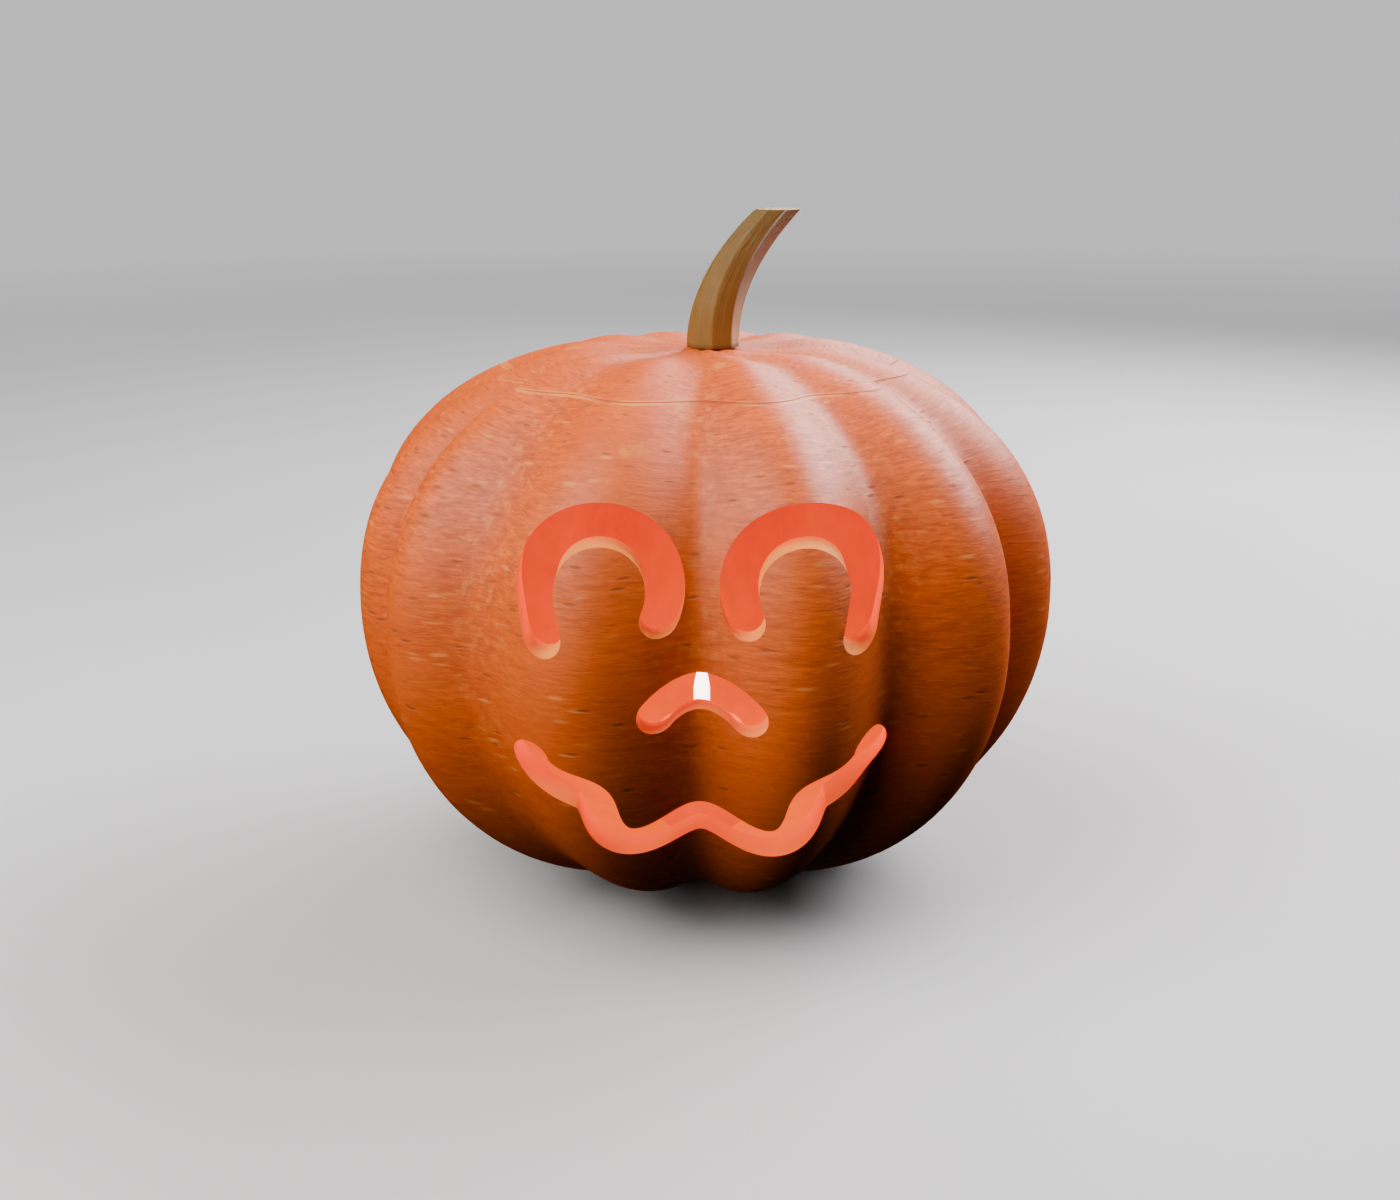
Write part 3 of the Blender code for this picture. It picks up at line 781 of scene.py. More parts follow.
def rind_group():
    """Shader group: colour, height and gloss of pumpkin rind, with fine streaks across the ribs, small corky
    dashes and pale flecks."""
    make, given, result = new_group(
        "ShaderNodeTree",
        "Rind",
        (
            ("Skin", "colour"), ("Deep", "colour"), ("Pale", "colour"), ("Fleck", "colour"), ("Dash", "colour"),
            ("Flow", "vector"), ("Groove", "number"), ("Level", "number"), ("Radius", "number"),
            ("Over Cut", "number"),
        ),
        (("Color", "colour"), ("Height", "number"), ("Roughness", "number")),
    )
    # The streaks wander a little up and down.
    wander = make.math("MULTIPLY_ADD", make.noise(given["Flow"], 38.0, 2.0, 0.5), 0.0028, -0.0014)
    flow = make.vector("ADD", given["Flow"], make.join(0.0, 0.0, wander))

    def stretched(factor, shift=0.0):
        """The flow, with its way down the ribs drawn out."""
        return make.vector("MULTIPLY_ADD", flow, (1.0, 1.0, factor), (shift, 0.0, 0.0))

    def both(first, second, factor=1.0):
        """The product of two values and a plain factor."""
        return make.math("MULTIPLY", make.math("MULTIPLY", first, second), factor)

    patches = make.noise(stretched(1.5), 26.0, 3.0, 0.6)
    mottle = make.noise(stretched(1.2), 230.0, 2.0, 0.55)
    streaks = make.noise(stretched(7.5), 85.0, 4.0, 0.60)
    hairs = make.noise(stretched(6.0, 3.0), 230.0, 2.0, 0.55)
    low = make.ease(given["Level"], 0.80, 0.15)

    # Soft clouds, then fine streaks that are now lighter, now darker.
    strength = make.ease(given["Level"], 0.35, 0.75, 0.55, 1.0)
    strength = make.math("MULTIPLY", strength, make.ease(make.noise(flow, 15.0, 2.0, 0.5), 0.36, 0.62, 0.55, 1.15))
    color = make.mix(make.ease(patches, 0.50, 0.75, 0.0, 0.30), given["Skin"], given["Deep"])
    color = make.mix(make.ease(patches, 0.48, 0.25, 0.0, 0.35), color, given["Pale"])
    color = make.mix(both(make.ease(streaks, 0.49, 0.68), strength, 0.85), color, given["Deep"])
    color = make.mix(both(make.ease(streaks, 0.49, 0.32), strength, 0.85), color, given["Pale"])
    color = make.mix(both(make.ease(hairs, 0.50, 0.72), strength, 0.65), color, given["Deep"])
    color = make.mix(both(make.ease(hairs, 0.48, 0.28), strength, 0.65), color, given["Pale"])

    # Grooves are deeper in colour, as painted shade in the creases, and mottled.
    in_groove = make.ease(given["Groove"], 0.45, 1.0)
    color = make.mix(make.math("MULTIPLY", in_groove, 0.20), color, given["Deep"])
    veins = make.math("MULTIPLY", make.ease(mottle, 0.50, 0.38), in_groove)
    color = make.mix(both(veins, strength, 0.35), color, given["Deep"])
    spots = make.math("MULTIPLY", make.ease(mottle, 0.53, 0.68), in_groove)
    color = make.mix(both(spots, strength, 0.22), color, given["Fleck"])
    # Painted shade: the skin is a little deeper in colour low down, towards the dark underside.
    color = make.mix(make.math("MULTIPLY", low, 0.10), color, given["Deep"])

    # Fine lines that run out from the stem.
    direction = make.vector("MULTIPLY", flow, (1.0, 1.0, 0.04))
    near_stem = make.ease(given["Radius"], 0.070, 0.016)
    rays = make.ease(make.noise(direction, 230.0, 2.0, 0.6), 0.52, 0.66)
    color = make.mix(both(rays, near_stem, 0.55), color, given["Deep"])

    # Painted light along the lid's cut: a thin dark line of painted shadow in the seam, which breaks off here and
    # there, and a pale lip of painted highlight.
    seam_breaks = make.noise(given["Flow"], 22.0, 2.0, 0.5)
    off_cut = make.math("ABSOLUTE", given["Over Cut"])
    line = both(make.ease(off_cut, 0.00055, 0.00015), make.ease(seam_breaks, 0.40, 0.55), 0.75)
    painted_seam_highlight = both(make.ease(off_cut, 0.00110, 0.00050), make.ease(seam_breaks, 0.56, 0.44), 0.45)
    # Painted highlight on the seam's edge, in the fleck colour.
    color = make.mix(painted_seam_highlight, color, given["Fleck"])
    # Painted shadow in the seam, in the dash colour.
    color = make.mix(line, color, given["Dash"])

    # Corky dashes and pale flecks, each on its own scatter.
    dash_far, dash_pick = make.cells(stretched(4.0, 1.0), 72.0)
    dash_kept = make.ease(make.split(dash_pick)[0], 0.45, 0.62)
    dash_edge = make.math("MULTIPLY_ADD", hairs, 0.16, dash_far)
    dashes = make.math("MULTIPLY", make.ease(dash_edge, 0.34, 0.15), dash_kept)
    color = make.mix(make.math("MULTIPLY", dashes, 0.70), color, given["Dash"])
    fleck_far, fleck_pick = make.cells(stretched(4.2, 2.0), 58.0)
    fleck_kept = make.ease(make.split(fleck_pick)[1], 0.52, 0.62)
    fleck_edge = make.math("MULTIPLY_ADD", streaks, 0.36, fleck_far)
    flecks = make.math("MULTIPLY", make.ease(fleck_edge, 0.46, 0.20), fleck_kept)
    color = make.mix(make.math("MULTIPLY", flecks, 0.50), color, given["Fleck"])
    patch_far, patch_pick = make.cells(stretched(1.3, 5.0), 24.0)
    patch_kept = make.ease(make.split(patch_pick)[2], 0.80, 0.86)
    patch_edge = make.math("MULTIPLY_ADD", mottle, 0.50, patch_far)
    pale_patch = make.math("MULTIPLY", make.ease(patch_edge, 0.50, 0.32), patch_kept)
    color = make.mix(make.math("MULTIPLY", pale_patch, 0.38), color, given["Fleck"])
    make.wire(color, result.inputs["Color"])

    height = make.math("MULTIPLY", streaks, 0.60)
    height = make.math("MULTIPLY_ADD", hairs, 0.40, height)
    height = make.math("MULTIPLY_ADD", dashes, -0.45, height)
    height = make.math("MULTIPLY_ADD", flecks, 0.25, height)
    make.wire(height, result.inputs["Height"])
    gloss = make.math("MULTIPLY_ADD", make.math("SUBTRACT", streaks, 0.5), 0.30, 0.49)
    gloss = make.math("MULTIPLY_ADD", dashes, 0.25, gloss)
    make.wire(gloss, result.inputs["Roughness"])
    return make.tree


def glow_group():
    """Shader group: how strongly the candle lights a point. Nearness falls with the distance to the flame, and
    Facing is 1 where the surface faces the flame and 0 where it faces away."""
    make, given, result = new_group(
        "ShaderNodeTree",
        "Candle Glow",
        (("Flame", "vector"), ("Reach", "number")),
        (("Nearness", "number"), ("Facing", "number")),
    )
    point = make.add("ShaderNodeTexCoord").outputs["Object"]
    towards = make.vector("SUBTRACT", given["Flame"], point)
    distance = make.add("ShaderNodeVectorMath", {0: towards}, operation="LENGTH").outputs["Value"]
    ratio = make.math("DIVIDE", distance, given["Reach"])
    make.wire(make.math("DIVIDE", 1.0, make.math("MULTIPLY_ADD", ratio, ratio, 1.0)), result.inputs["Nearness"])
    normal = make.add("ShaderNodeNewGeometry").outputs["Normal"]
    turned_to = make.add(
        "ShaderNodeVectorMath", {0: normal, 1: make.vector("NORMALIZE", towards)}, operation="DOT_PRODUCT"
    ).outputs["Value"]
    # Walls that face up glow less, for more of their light comes from outside.
    drowned = make.ease(make.split(normal)[2], 0.2, 1.0, 1.0, 0.55)
    facing = make.math("MULTIPLY", make.ease(turned_to, -0.20, 0.30), drowned)
    make.wire(facing, result.inputs["Facing"])
    return make.tree


def shared_group(name, build):
    """A node group that is built once."""
    return bpy.data.node_groups.get(name) or build()


def new_material(name, **settings):
    """A node material: its maker, its shader, and the material. Settings name the shader's plain inputs."""
    material = bpy.data.materials.new(name)
    material.use_nodes = True
    shader = material.node_tree.nodes["Principled BSDF"]
    for key, value in settings.items():
        shader.inputs[key.replace("_", " ")].default_value = value
    return Maker(material.node_tree), shader, material


def bumped(make, shader, height, distance, strength=1.0):
    """Feed a height to the shader's normal."""
    inputs = {"Height": height, "Distance": distance, "Strength": strength}
    make.wire(make.add("ShaderNodeBump", inputs).outputs[0], shader.inputs["Normal"])


def rind_material(name, colors, cuts):
    """Pumpkin rind: satin, streaked across its ribs."""
    make, shader, material = new_material(name, IOR=1.62)
    place = make.group(
        shared_group("Pumpkin Coordinates", coordinates_group),
        {"Cut Radius": cuts.lid_radius, "Cut Level": WIDEST_Z + cuts.lid_height, "Cut Slope": cuts.lid_slope},
    )
    rind = make.group(
        shared_group("Rind", rind_group),
        {
            "Skin": (*colors.skin, 1.0), "Deep": (*colors.skin_deep, 1.0), "Pale": (*colors.skin_pale, 1.0),
            "Fleck": (*colors.skin_fleck, 1.0), "Dash": (*colors.skin_dash, 1.0),
            "Flow": place["Flow"], "Groove": place["Groove"], "Level": place["Level"], "Radius": place["Radius"],
            "Over Cut": place["Over Cut"],
        },
    )
    make.wire(rind["Color"], shader.inputs["Base Color"])
    make.wire(rind["Roughness"], shader.inputs["Roughness"])
    bumped(make, shader, rind["Height"], 0.00025)
    return material


def flame_middle():
    """The middle of the flame."""
    low, high = FLAME_BOX
    return (low + high) / 2


def flesh_material(name, colors, hollow):
    """Pumpkin flesh: pale in the cuts, and glowing where the candle lights it."""
    make, shader, material = new_material(name, IOR=1.38, Emission_Strength=1.6 if hollow else 2.35)
    point = make.add("ShaderNodeTexCoord").outputs["Object"]
    glow = make.group(
        shared_group("Candle Glow", glow_group), {"Flame": flame_middle(), "Reach": 0.1225}
    )
    strands = make.noise(make.vector("MULTIPLY", point, (1.0, 1.0, 0.5)), 150.0, 4.0, 0.6)
    clouds = make.noise(point, 28.0, 2.0, 0.5)
    near = make.ease(glow["Nearness"], 0.42, 0.72, kind="LINEAR")
    glowing = make.mix(near, (*colors.glow_far, 1.0), (*colors.glow_near, 1.0))
    amount = make.math("MULTIPLY", glow["Nearness"], make.ease(clouds, 0.3, 0.7, 0.93, 1.07))
    if hollow:
        color = make.mix(make.ease(strands, 0.3, 0.7), (0.30, 0.030, 0.002, 1.0), (0.38, 0.050, 0.004, 1.0))
    else:
        depth = make.add("ShaderNodeAttribute", attribute_name="depth").outputs["Fac"]
        ripe = make.ease(depth, 0.10, 0.0, 0.0, 0.45)
        color = make.mix(make.ease(strands, 0.3, 0.7, 0.0, 0.22), (*colors.flesh, 1.0), (*colors.skin_pale, 1.0))
        color = make.mix(ripe, color, (*colors.skin_pale, 1.0))
        inward = make.math("MULTIPLY", glow["Facing"], make.ease(depth, 0.0, 0.8, 0.62, 0.95))
        backlit = make.ease(depth, 0.55, 1.0, 0.0, 0.45)
        amount = make.math("MULTIPLY", amount, make.math("MAXIMUM", inward, backlit))
    make.wire(color, shader.inputs["Base Color"])
    make.wire(make.mix(amount, (0.0, 0.0, 0.0, 1.0), glowing), shader.inputs["Emission Color"])
    make.wire(make.ease(strands, 0.3, 0.7, 0.5, 0.68), shader.inputs["Roughness"])
    bumped(make, shader, strands, 0.0004)
    return material


def stem_material(name, colors):
    """Dry pumpkin stem: tan and brown sides with fine lengthwise fibres, and a pale cut end."""
    make, shader, material = new_material(name, IOR=1.36, Coat_Weight=0.02, Coat_Roughness=0.35)
    point = make.add("ShaderNodeTexCoord").outputs["Object"]
    x, y, z = make.split(point)
    low, high = STEM_BOX
    # Undo the bend, so that the fibres follow the stem.
    height = make.ease(z, low.z, high.z, 0.0, 1.0, "LINEAR")
    bend = make.math("MULTIPLY", make.math("POWER", height, 2.1), 0.0272)
    straight_x = make.math("SUBTRACT", make.math("SUBTRACT", x, 0.0046), bend)
    straight = make.join(straight_x, y, make.math("MULTIPLY", z, 0.05))
    fibres = make.noise(straight, 900.0, 3.0, 0.6)
    bands = make.noise(straight, 230.0, 2.0, 0.5)
    blotches = make.noise(point, 60.0, 3.0, 0.5)
    # The bearing on the stem, with its twist undone, so that each flat side keeps its own range.
    twist = make.math("MULTIPLY", height, math.radians(-25))
    side = make.math("SUBTRACT", make.math("ARCTAN2", y, straight_x), twist)
    # The side towards the front right is browner, and more so near the top, with a red edge.
    front = make.ease(make.math("ABSOLUTE", make.math("ADD", side, 1.178)), 0.45, 0.36)
    brown = make.math("MULTIPLY", front, make.ease(height, 0.0, 0.60, 0.10, 0.90))
    brown = make.math("ADD", brown, make.math("MULTIPLY_ADD", bands, 0.45, -0.225), clamp=True)
    color = make.mix(brown, (*colors.stem_tan, 1.0), (*colors.stem_brown, 1.0))
    edge = make.ease(make.math("ABSOLUTE", make.math("ADD", side, 0.80)), 0.12, 0.04)
    red = make.math("MULTIPLY", edge, make.ease(height, 0.30, 0.75, 0.0, 0.50))
    color = make.mix(red, color, (*colors.stem_red, 1.0))
    dark = tuple(value * 0.50 for value in colors.stem_brown)
    color = make.mix(make.ease(fibres, 0.52, 0.75, 0.0, 0.30), color, (*dark, 1.0))
    color = make.mix(make.ease(blotches, 0.52, 0.75, 0.0, 0.12), color, (*colors.stem_pith, 1.0))
    # The sides darken a little towards the top.
    color = make.mix(make.ease(height, 0.45, 1.0, 0.0, 0.28), color, (*dark, 1.0))
    # The right side is painted pale as a highlight of the light from the right: pale at the foot, and greyer above.
    highlit = make.ease(side, -0.80, -0.70)
    grey = make.mix(make.ease(height, 0.15, 0.50), (*colors.stem_pith, 1.0), (*colors.stem_grey, 1.0))
    color = make.mix(make.math("MULTIPLY", highlit, 0.90), color, grey)
    # The cut end is pale, and so is its rim, where the skin has worn.
    _, _, up = make.split(make.add("ShaderNodeNewGeometry").outputs["Normal"])
    end = make.math("MULTIPLY", make.ease(up, 0.60, 0.90), make.ease(height, 0.9, 0.97))
    rings = make.noise(make.join(straight_x, y, 0.0), 700.0, 2.0, 0.5)
    pith = make.mix(make.ease(rings, 0.4, 0.7, 0.0, 0.5), (*colors.stem_pith, 1.0), (*colors.stem_tan, 1.0))
    color = make.mix(end, color, pith)
    # Painted shadow darkens the foot where it meets the skin.
    foot = make.ease(height, 0.040, 0.012, 0.0, 0.85)
    color = make.mix(foot, color, (*dark, 1.0))
    make.wire(color, shader.inputs["Base Color"])
    make.wire(make.ease(fibres, 0.3, 0.7, 0.36, 0.55), shader.inputs["Roughness"])
    bumped(make, shader, make.math("MULTIPLY_ADD", bands, 0.8, fibres), 0.0003)
    return material


def wax_material(name, colors):
    """Candle wax with a wet pool, and painted flame light: it glows near the flame."""
    make, shader, material = new_material(name, IOR=1.44, Emission_Strength=1.0, Subsurface_Weight=0.0)
    point = make.add("ShaderNodeTexCoord").outputs["Object"]
    _, _, z = make.split(point)
    low, high = CANDLE_BOX
    height = make.ease(z, low.z, high.z, 0.0, 1.0, "LINEAR")
    clouds = make.noise(point, 120.0, 3.0, 0.5)
    deep = tuple(value * 0.8 for value in colors.wax)
    color = make.mix(make.ease(clouds, 0.35, 0.7, 0.0, 0.6), (*colors.wax, 1.0), (*deep, 1.0))
    make.wire(color, shader.inputs["Base Color"])
    # Painted flame light: the wax glows near the flame, more towards the top.
    glow = make.group(shared_group("Candle Glow", glow_group), {"Flame": flame_middle(), "Reach": 0.045})
    amount = make.math("MULTIPLY", glow["Nearness"], make.ease(height, 0.0, 1.0, 1.2, 1.6))
    lit = make.mix(0.15, (*colors.glow_near, 1.0), (*colors.wax, 1.0))
    make.wire(make.mix(amount, (0.0, 0.0, 0.0, 1.0), lit), shader.inputs["Emission Color"])
    make.wire(make.ease(height, 0.93, 0.90, 0.22, 0.48), shader.inputs["Roughness"])
    bumped(make, shader, clouds, 0.0003)
    return material


def wick_material(name):
    """A charred cotton wick, glowing a little at its tip."""
    make, shader, material = new_material(name, Emission_Strength=1.0)
    point = make.add("ShaderNodeTexCoord").outputs["Object"]
    _, _, z = make.split(point)
    low, high = WICK_BOX
    braid = make.add("ShaderNodeTexWave", {"Vector": point, "Scale": 420.0, "Distortion": 2.0}).outputs["Fac"]
    color = make.mix(braid, (0.012, 0.009, 0.007, 1.0), (0.06, 0.045, 0.035, 1.0))
    make.wire(color, shader.inputs["Base Color"])
    make.wire(make.ease(braid, 0.0, 1.0, 0.75, 0.95), shader.inputs["Roughness"])
    ember = make.ease(z, high.z - 0.0025, high.z)
    make.wire(make.mix(ember, (0.0, 0.0, 0.0, 1.0), (1.0, 0.25, 0.05, 1.0)), shader.inputs["Emission Color"])
    bumped(make, shader, braid, 0.0002)
    return material


def flame_material(name, colors):
    """A white flame with faint pink low edges."""
    make, shader, material = new_material(name, Roughness=0.6, Emission_Strength=7.0)
    point = make.add("ShaderNodeTexCoord").outputs["Object"]
    x, y, z = make.split(point)
    low, high = FLAME_BOX
    height = make.ease(z, low.z, high.z, 0.0, 1.0, "LINEAR")
    edge = make.ease(make.math("ABSOLUTE", x), 0.0012, 0.0036)
    foot = make.math("MULTIPLY", make.ease(height, 0.75, 0.15), edge)
    wisps = make.noise(make.vector("MULTIPLY", point, (1.0, 1.0, 0.4)), 300.0, 1.0, 0.5)
    pink = make.mix(make.ease(wisps, 0.3, 0.7), (1.0, 0.50, 0.36, 1.0), (1.0, 0.62, 0.48, 1.0))
    color = make.mix(make.math("MULTIPLY", foot, 0.8), (*colors.flame, 1.0), pink)
    make.wire(color, shader.inputs["Base Color"])
    make.wire(color, shader.inputs["Emission Color"])
    return material


def floor_material():
    """A plain pale matte floor, which glows a little far out, where the lights don't reach."""
    make, shader, material = new_material("stage_floor", Roughness=0.7, Emission_Strength=1.0)
    point = make.add("ShaderNodeTexCoord").outputs["Object"]
    tone = make.ease(make.noise(point, 3.0, 2.0, 0.5), 0.3, 0.7)
    make.wire(make.mix(tone, (0.60, 0.60, 0.61, 1.0), (0.63, 0.63, 0.64, 1.0)), shader.inputs["Base Color"])
    distance = make.add("ShaderNodeVectorMath", {0: point}, operation="LENGTH").outputs["Value"]
    far = make.ease(distance, 0.6, 3.4)
    make.wire(make.mix(far, (0.0, 0.0, 0.0, 1.0), (0.66, 0.66, 0.67, 1.0)), shader.inputs["Emission Color"])
    return material


# Operators ----------------------------------------------------------------------------------------


class PUMPKIN_OT_shell(bpy.types.Operator):
    """Make the hollow ribbed pumpkin with its face cut through"""

    bl_idname = "pumpkin.shell"
    bl_label = "Carved shell"

    def execute(self, context):
        scene = context.scene
        colors = scene.pumpkin_colors
        cuts = scene.pumpkin_cuts
        skin = ribbed_mesh(scene.pumpkin_body, rind_material("pumpkin_skin", colors, cuts), False)
        hollow = ribbed_mesh(scene.pumpkin_body, flesh_material("lit_hollow", colors, True), True)
        flesh = flesh_material("cut_flesh", colors, False)
        shell = new_object("carved_shell", skin.copy())
        cutters = [new_object("hollow", hollow), lid_cone(cuts, 0.0, flesh), face_cutter(cuts, flesh)]
        for cutter in cutters:
            cut(shell, cutter)
        mark_depth(shell, skin, hollow)
        sharpen(shell, 32)
        for cutter in cutters:
            bpy.data.objects.remove(cutter, do_unlink=True)
        finished(shell, "pumpkin_shell")
        return {"FINISHED"}


class PUMPKIN_OT_lid(bpy.types.Operator):
    """Make the lid that was cut out round the stem"""

    bl_idname = "pumpkin.lid"
    bl_label = "Lid"

    def execute(self, context):
        scene = context.scene
        colors = scene.pumpkin_colors
        cuts = scene.pumpkin_cuts
        skin = ribbed_mesh(scene.pumpkin_body, rind_material("lid_skin", colors, cuts), False)
        hollow = ribbed_mesh(scene.pumpkin_body, flesh_material("lid_hollow", colors, True), True)
        lid = new_object("cut_lid", skin.copy())
        hollow_cutter = new_object("hollow", hollow)
        cone = lid_cone(cuts, cuts.lid_gap, flesh_material("lid_flesh", colors, False))
        cut(lid, cone, "INTERSECT")
        cut(lid, hollow_cutter)
        mark_depth(lid, skin, hollow)
        sharpen(lid, 32)
        for cutter in (hollow_cutter, cone):
            bpy.data.objects.remove(cutter, do_unlink=True)
        finished(lid, "pumpkin_lid")
        return {"FINISHED"}


class PUMPKIN_OT_stem(bpy.types.Operator):
    """Make the eight-sided stem that bends over to one side"""

    bl_idname = "pumpkin.stem"
    bl_label = "Stem"

    def execute(self, context):
        sizes = context.scene.pumpkin_stem
        values = {
            "Foot X": sizes.foot_x, "Foot Z": sizes.foot_z, "Height": sizes.height, "Radius": sizes.radius,
            "Taper": sizes.taper, "Lean": sizes.lean, "Lean Power": sizes.lean_power, "Twist": sizes.twist,
            "Sides": float(sizes.sides), "Corner Rounding": 0.03, "Fibre Depth": 0.0003,
            "Columns": sizes.sides * 16, "Rows": 80,
            "Material": stem_material("stem_wood", context.scene.pumpkin_colors),
        }
        empty = bpy.data.meshes.new("start")
        stem = new_object("bent_stem", grown(empty, stem_tree(), values))
        shape = bmesh.new()
        shape.from_mesh(stem.data)
        open_edges = [edge for edge in shape.edges if edge.is_boundary]
        bmesh.ops.holes_fill(shape, edges=open_edges, sides=0)
        bmesh.ops.recalc_face_normals(shape, faces=shape.faces)
        shape.to_mesh(stem.data)
        shape.free()
        rim = stem.modifiers.new("rim", "BEVEL")
        rim.width = 0.0009
        rim.segments = 3
        rim.limit_method = "ANGLE"
        rim.angle_limit = math.radians(50)
        applied(stem)
        sharpen(stem, 60)
        finished(stem, "pumpkin_stem")
        return {"FINISHED"}


class PUMPKIN_OT_candle(bpy.types.Operator):
    """Make the candle, with a rounded rim and a melted pool"""

    bl_idname = "pumpkin.candle"
    bl_label = "Candle"

    def execute(self, context):
        low, high = CANDLE_BOX
        radius = high.x
        pool = radius - 0.0040
        rim = 0.0018
        profile = [(0.0, high.z - 0.0019), (0.0012, high.z - 0.0018), (0.0022, high.z - 0.0020)]
        profile += [(pool * step / 6, high.z - 0.0020) for step in range(1, 6)]
        profile += [(pool, high.z - 0.0018), (pool + 0.0009, high.z - 0.0010), (pool + 0.0016, high.z - 0.0001)]
        for step in range(7):
            angle = math.radians(90 - 90 * step / 6)
            profile.append((radius - rim + rim * math.cos(angle), high.z - rim + rim * math.sin(angle)))
        profile += [(radius, high.z - (high.z - low.z) * step / 10) for step in range(2, 9)]
        for step in range(5):
            angle = math.radians(-90 * step / 4)
            profile.append((radius - 0.0010 + 0.0010 * math.cos(angle), low.z + 0.0010 + 0.0010 * math.sin(angle)))
        profile.append((0.0, low.z))
        candle = turned("pillar_candle", profile, 96, [wax_material("candle_wax", context.scene.pumpkin_colors)])
        for vertex in candle.data.vertices:
            # Heat leaves the rim a little uneven.
            share_up = (vertex.co.z - low.z) / (high.z - low.z)
            bearing = math.atan2(vertex.co.y, vertex.co.x)
            wave = 0.5 + 0.3 * math.sin(3 * bearing + 0.7) + 0.2 * math.sin(7 * bearing)
            vertex.co.z -= 0.0007 * wave * max(share_up - 0.8, 0.0) / 0.2
            vertex.co.x *= 1 - 0.012 * wave * share_up
            vertex.co.y *= 1 - 0.012 * wave * share_up
        sharpen(candle, 60)
        finished(candle, "candle")
        return {"FINISHED"}


class PUMPKIN_OT_wick(bpy.types.Operator):
    """Make the charred wick"""

    bl_idname = "pumpkin.wick"
    bl_label = "Wick"

    def execute(self, context):
        low, high = WICK_BOX
        radius = high.x
        profile = [(0.0, high.z), (radius * 0.6, high.z - 0.0001), (radius, high.z - 0.0006)]
        profile += [(radius * (1 - 0.12 * (step % 2)), high.z - 0.0006 - 0.0007 * step) for step in range(1, 12)]
        profile += [(radius, low.z), (0.0, low.z)]
        wick = turned("charred_wick", profile, 20, [wick_material("wick_char")])
        sharpen(wick, 60)
        finished(wick, "candle_wick")
        return {"FINISHED"}


class PUMPKIN_OT_flame(bpy.types.Operator):
    """Make the flame, a drop that hides the tip of the wick"""

    bl_idname = "pumpkin.flame"
    bl_label = "Flame"

    def execute(self, context):
        low, high = FLAME_BOX
        radius = high.x
        steps = 40
        profile = []
        for step in range(steps + 1):
            along = step / steps
            width = radius * 1.30 * math.sin(math.pi * along ** 1.2) ** 0.65 * (0.5 + 0.5 * along)
            profile.append((min(width, radius) if 0 < step < steps else 0.0, high.z - (high.z - low.z) * along))
        flame = turned("flame_drop", profile, 48, [flame_material("flame", context.scene.pumpkin_colors)])
        sharpen(flame, 180)
        finished(flame, "candle_flame")
        return {"FINISHED"}


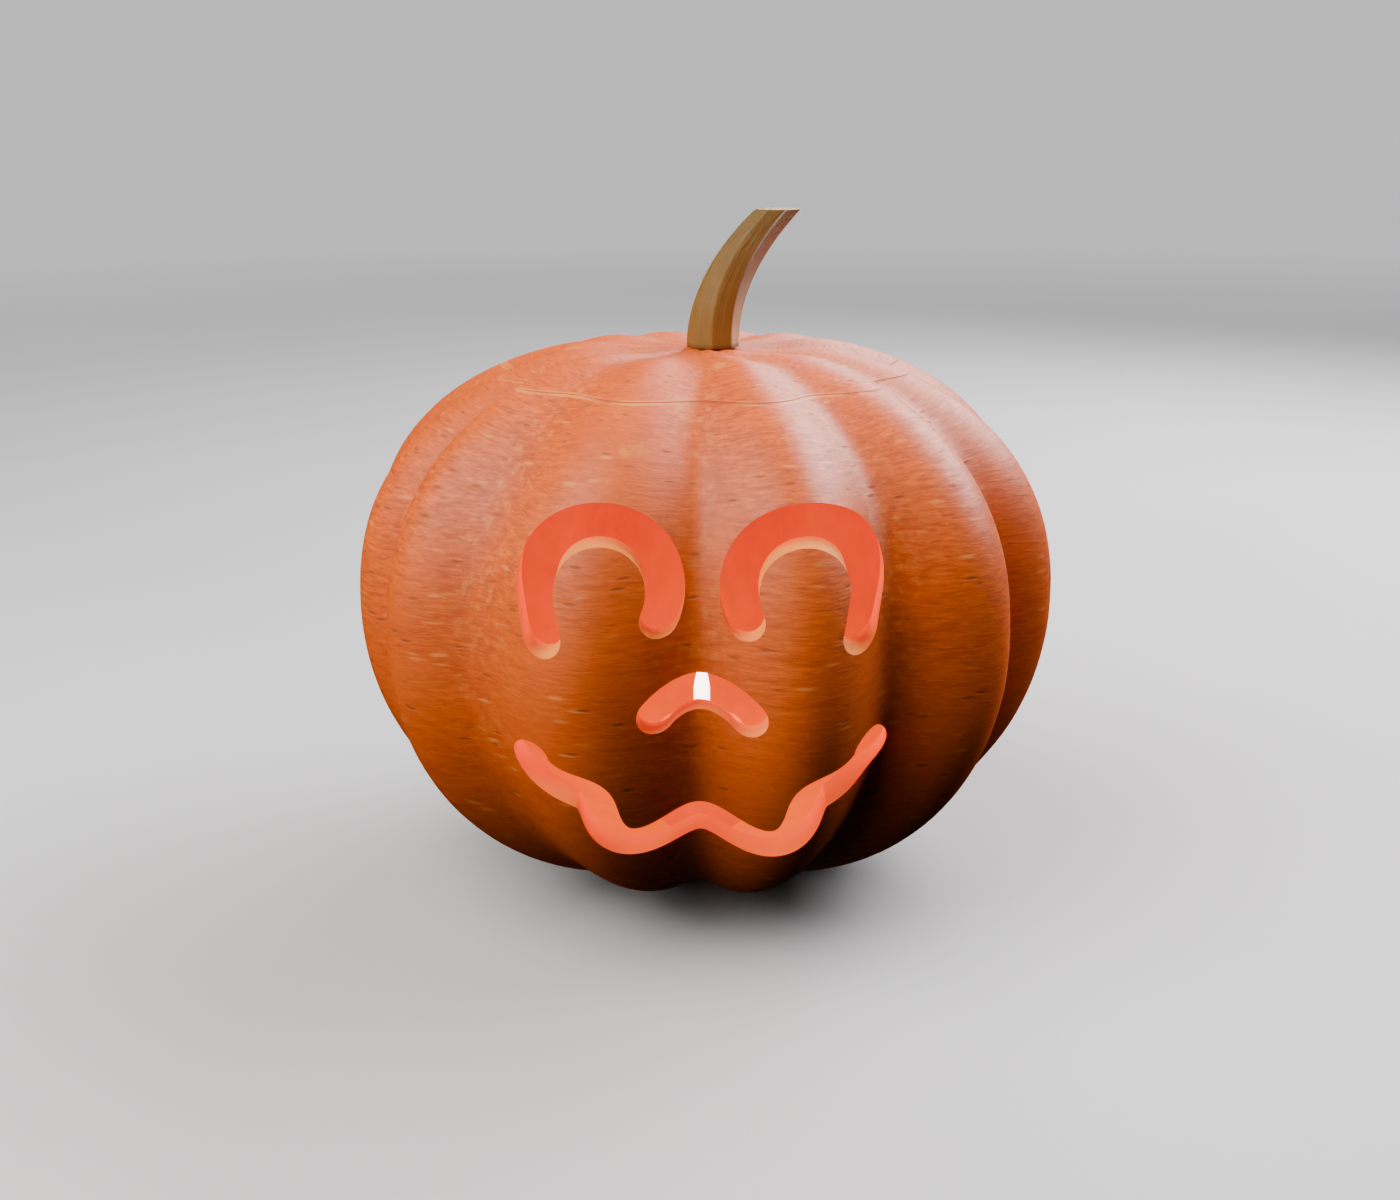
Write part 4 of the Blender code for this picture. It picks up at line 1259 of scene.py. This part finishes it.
class PUMPKIN_OT_stage(bpy.types.Operator):
    """Set the pale floor, the soft lights and the camera"""

    bl_idname = "pumpkin.stage"
    bl_label = "Stage"

    def execute(self, context):
        self.floor()
        self.lights(context)
        self.camera(context)
        return {"FINISHED"}

    def floor(self):
        """A pale floor that sweeps up all round into a backdrop."""
        reach, bend, top = 4.0, 1.5, 6.0
        profile = [(reach + bend, top)]
        profile += [
            (reach + bend * math.sin(math.radians(angle)), bend - bend * math.cos(math.radians(angle)))
            for angle in range(90, -1, -6)
        ]
        profile += [(reach * step / 4, 0.0) for step in (3, 2, 1, 0)]
        floor = turned("stage_floor", profile, 96, [floor_material()])
        # The floor's bounce is left out, so that the pumpkin's underside stays as dark as on a dark table.
        floor.visible_diffuse = False
        floor.visible_glossy = False

    def lights(self, context):
        """A soft light from the right, two from the left, one from behind, and the candle's own light."""
        world = bpy.data.worlds.new("studio")
        world.use_nodes = True
        world.node_tree.nodes["Background"].inputs["Color"].default_value = (0.92, 0.95, 1.0, 1.0)
        world.node_tree.nodes["Background"].inputs["Strength"].default_value = 0.008
        context.scene.world = world
        target = Vector((0.0, 0.0, 0.12))
        for name, bearing, rise, size, energy, color in (
            ("key", 110, 40, (1.20, 0.90), 31.0, (1.0, 0.95, 0.97)),
            ("back", 148, 35, (1.30, 0.90), 26.0, (1.0, 0.96, 0.98)),
            ("over", -40, 60, (1.40, 1.40), 5.0, (1.0, 0.98, 0.95)),
            ("over_soft", -60, 50, (1.40, 1.40), 33.0, (1.0, 0.98, 0.95)),
            ("fill_soft", -55, 27, (1.80, 1.40), 15.0, (1.0, 0.98, 0.94)),
        ):
            holder = self.area(name, bearing, rise, size, energy, color, target)
            # The soft lights are too wide to leave a gleam of their own.
            holder.visible_glossy = not name.endswith("soft")
        candle = bpy.data.lights.new("candle_light", "POINT")
        candle.energy = 0.25
        candle.color = (1.0, 0.32, 0.06)
        candle.shadow_soft_size = 0.012
        holder = bpy.data.objects.new("candle_light", candle)
        holder.location = (0.0, 0.0, FLAME_BOX[1].z + 0.020)
        holder.visible_glossy = False
        bpy.context.scene.collection.objects.link(holder)

    def area(self, name, bearing, rise, size, energy, color, target):
        """A rectangular soft light aimed at the pumpkin, from a bearing and a rise in degrees."""
        light = bpy.data.lights.new(name, "AREA")
        light.shape = "RECTANGLE"
        light.size, light.size_y = size
        light.energy = energy
        light.color = color
        holder = bpy.data.objects.new(name, light)
        bearing, rise = math.radians(bearing), math.radians(rise)
        way = Vector((math.sin(bearing) * math.cos(rise), -math.cos(bearing) * math.cos(rise), math.sin(rise)))
        holder.location = target + way * 1.5
        holder.rotation_euler = (-way).to_track_quat("-Z", "Y").to_euler()
        bpy.context.scene.collection.objects.link(holder)
        return holder

    def camera(self, context):
        """The camera, a little over the pumpkin's middle."""
        distance, raised = 0.820, math.radians(15.93)
        camera = bpy.data.cameras.new("camera")
        camera.sensor_width = 36.0
        camera.lens = 47.78
        holder = bpy.data.objects.new("camera", camera)
        holder.location = (
            -0.0008, -distance * math.cos(raised), WIDEST_Z - 0.00775 + distance * math.sin(raised)
        )
        holder.rotation_euler = (math.pi / 2 - raised, 0.0, 0.0)
        bpy.context.scene.collection.objects.link(holder)
        context.scene.camera = holder


OPERATORS = (
    PUMPKIN_OT_shell,
    PUMPKIN_OT_lid,
    PUMPKIN_OT_stem,
    PUMPKIN_OT_candle,
    PUMPKIN_OT_wick,
    PUMPKIN_OT_flame,
    PUMPKIN_OT_stage,
)
GROUPS = {
    "pumpkin_body": PumpkinBody,
    "pumpkin_cuts": PumpkinCuts,
    "pumpkin_stem": PumpkinStem,
    "pumpkin_colors": PumpkinColors,
}


class PUMPKIN_PT_lantern(bpy.types.Panel):
    """Sizes, colours and pieces of the pumpkin lantern"""

    bl_idname = "PUMPKIN_PT_lantern"
    bl_label = "Carved Pumpkin Lantern"
    bl_space_type = "VIEW_3D"
    bl_region_type = "UI"
    bl_category = "Pumpkin"

    def draw(self, context):
        for name, group in GROUPS.items():
            box = self.layout.box()
            box.label(text=name.replace("_", " ").capitalize())
            settings = getattr(context.scene, name)
            for setting in group.__annotations__:
                box.prop(settings, setting)
        for operator in OPERATORS:
            self.layout.operator(operator.bl_idname)


def register():
    for group in GROUPS.values():
        bpy.utils.register_class(group)
    for name, group in GROUPS.items():
        setattr(bpy.types.Scene, name, PointerProperty(type=group))
    for operator in OPERATORS:
        bpy.utils.register_class(operator)
    bpy.utils.register_class(PUMPKIN_PT_lantern)


def unregister():
    bpy.utils.unregister_class(PUMPKIN_PT_lantern)
    for operator in reversed(OPERATORS):
        bpy.utils.unregister_class(operator)
    for name in GROUPS:
        delattr(bpy.types.Scene, name)
    for group in reversed(GROUPS.values()):
        bpy.utils.unregister_class(group)


def main():
    """Make every piece."""
    register()
    bpy.ops.pumpkin.shell()
    bpy.ops.pumpkin.lid()
    bpy.ops.pumpkin.stem()
    bpy.ops.pumpkin.candle()
    bpy.ops.pumpkin.wick()
    bpy.ops.pumpkin.flame()
    bpy.ops.pumpkin.stage()


if __name__ == "__main__":
    main()
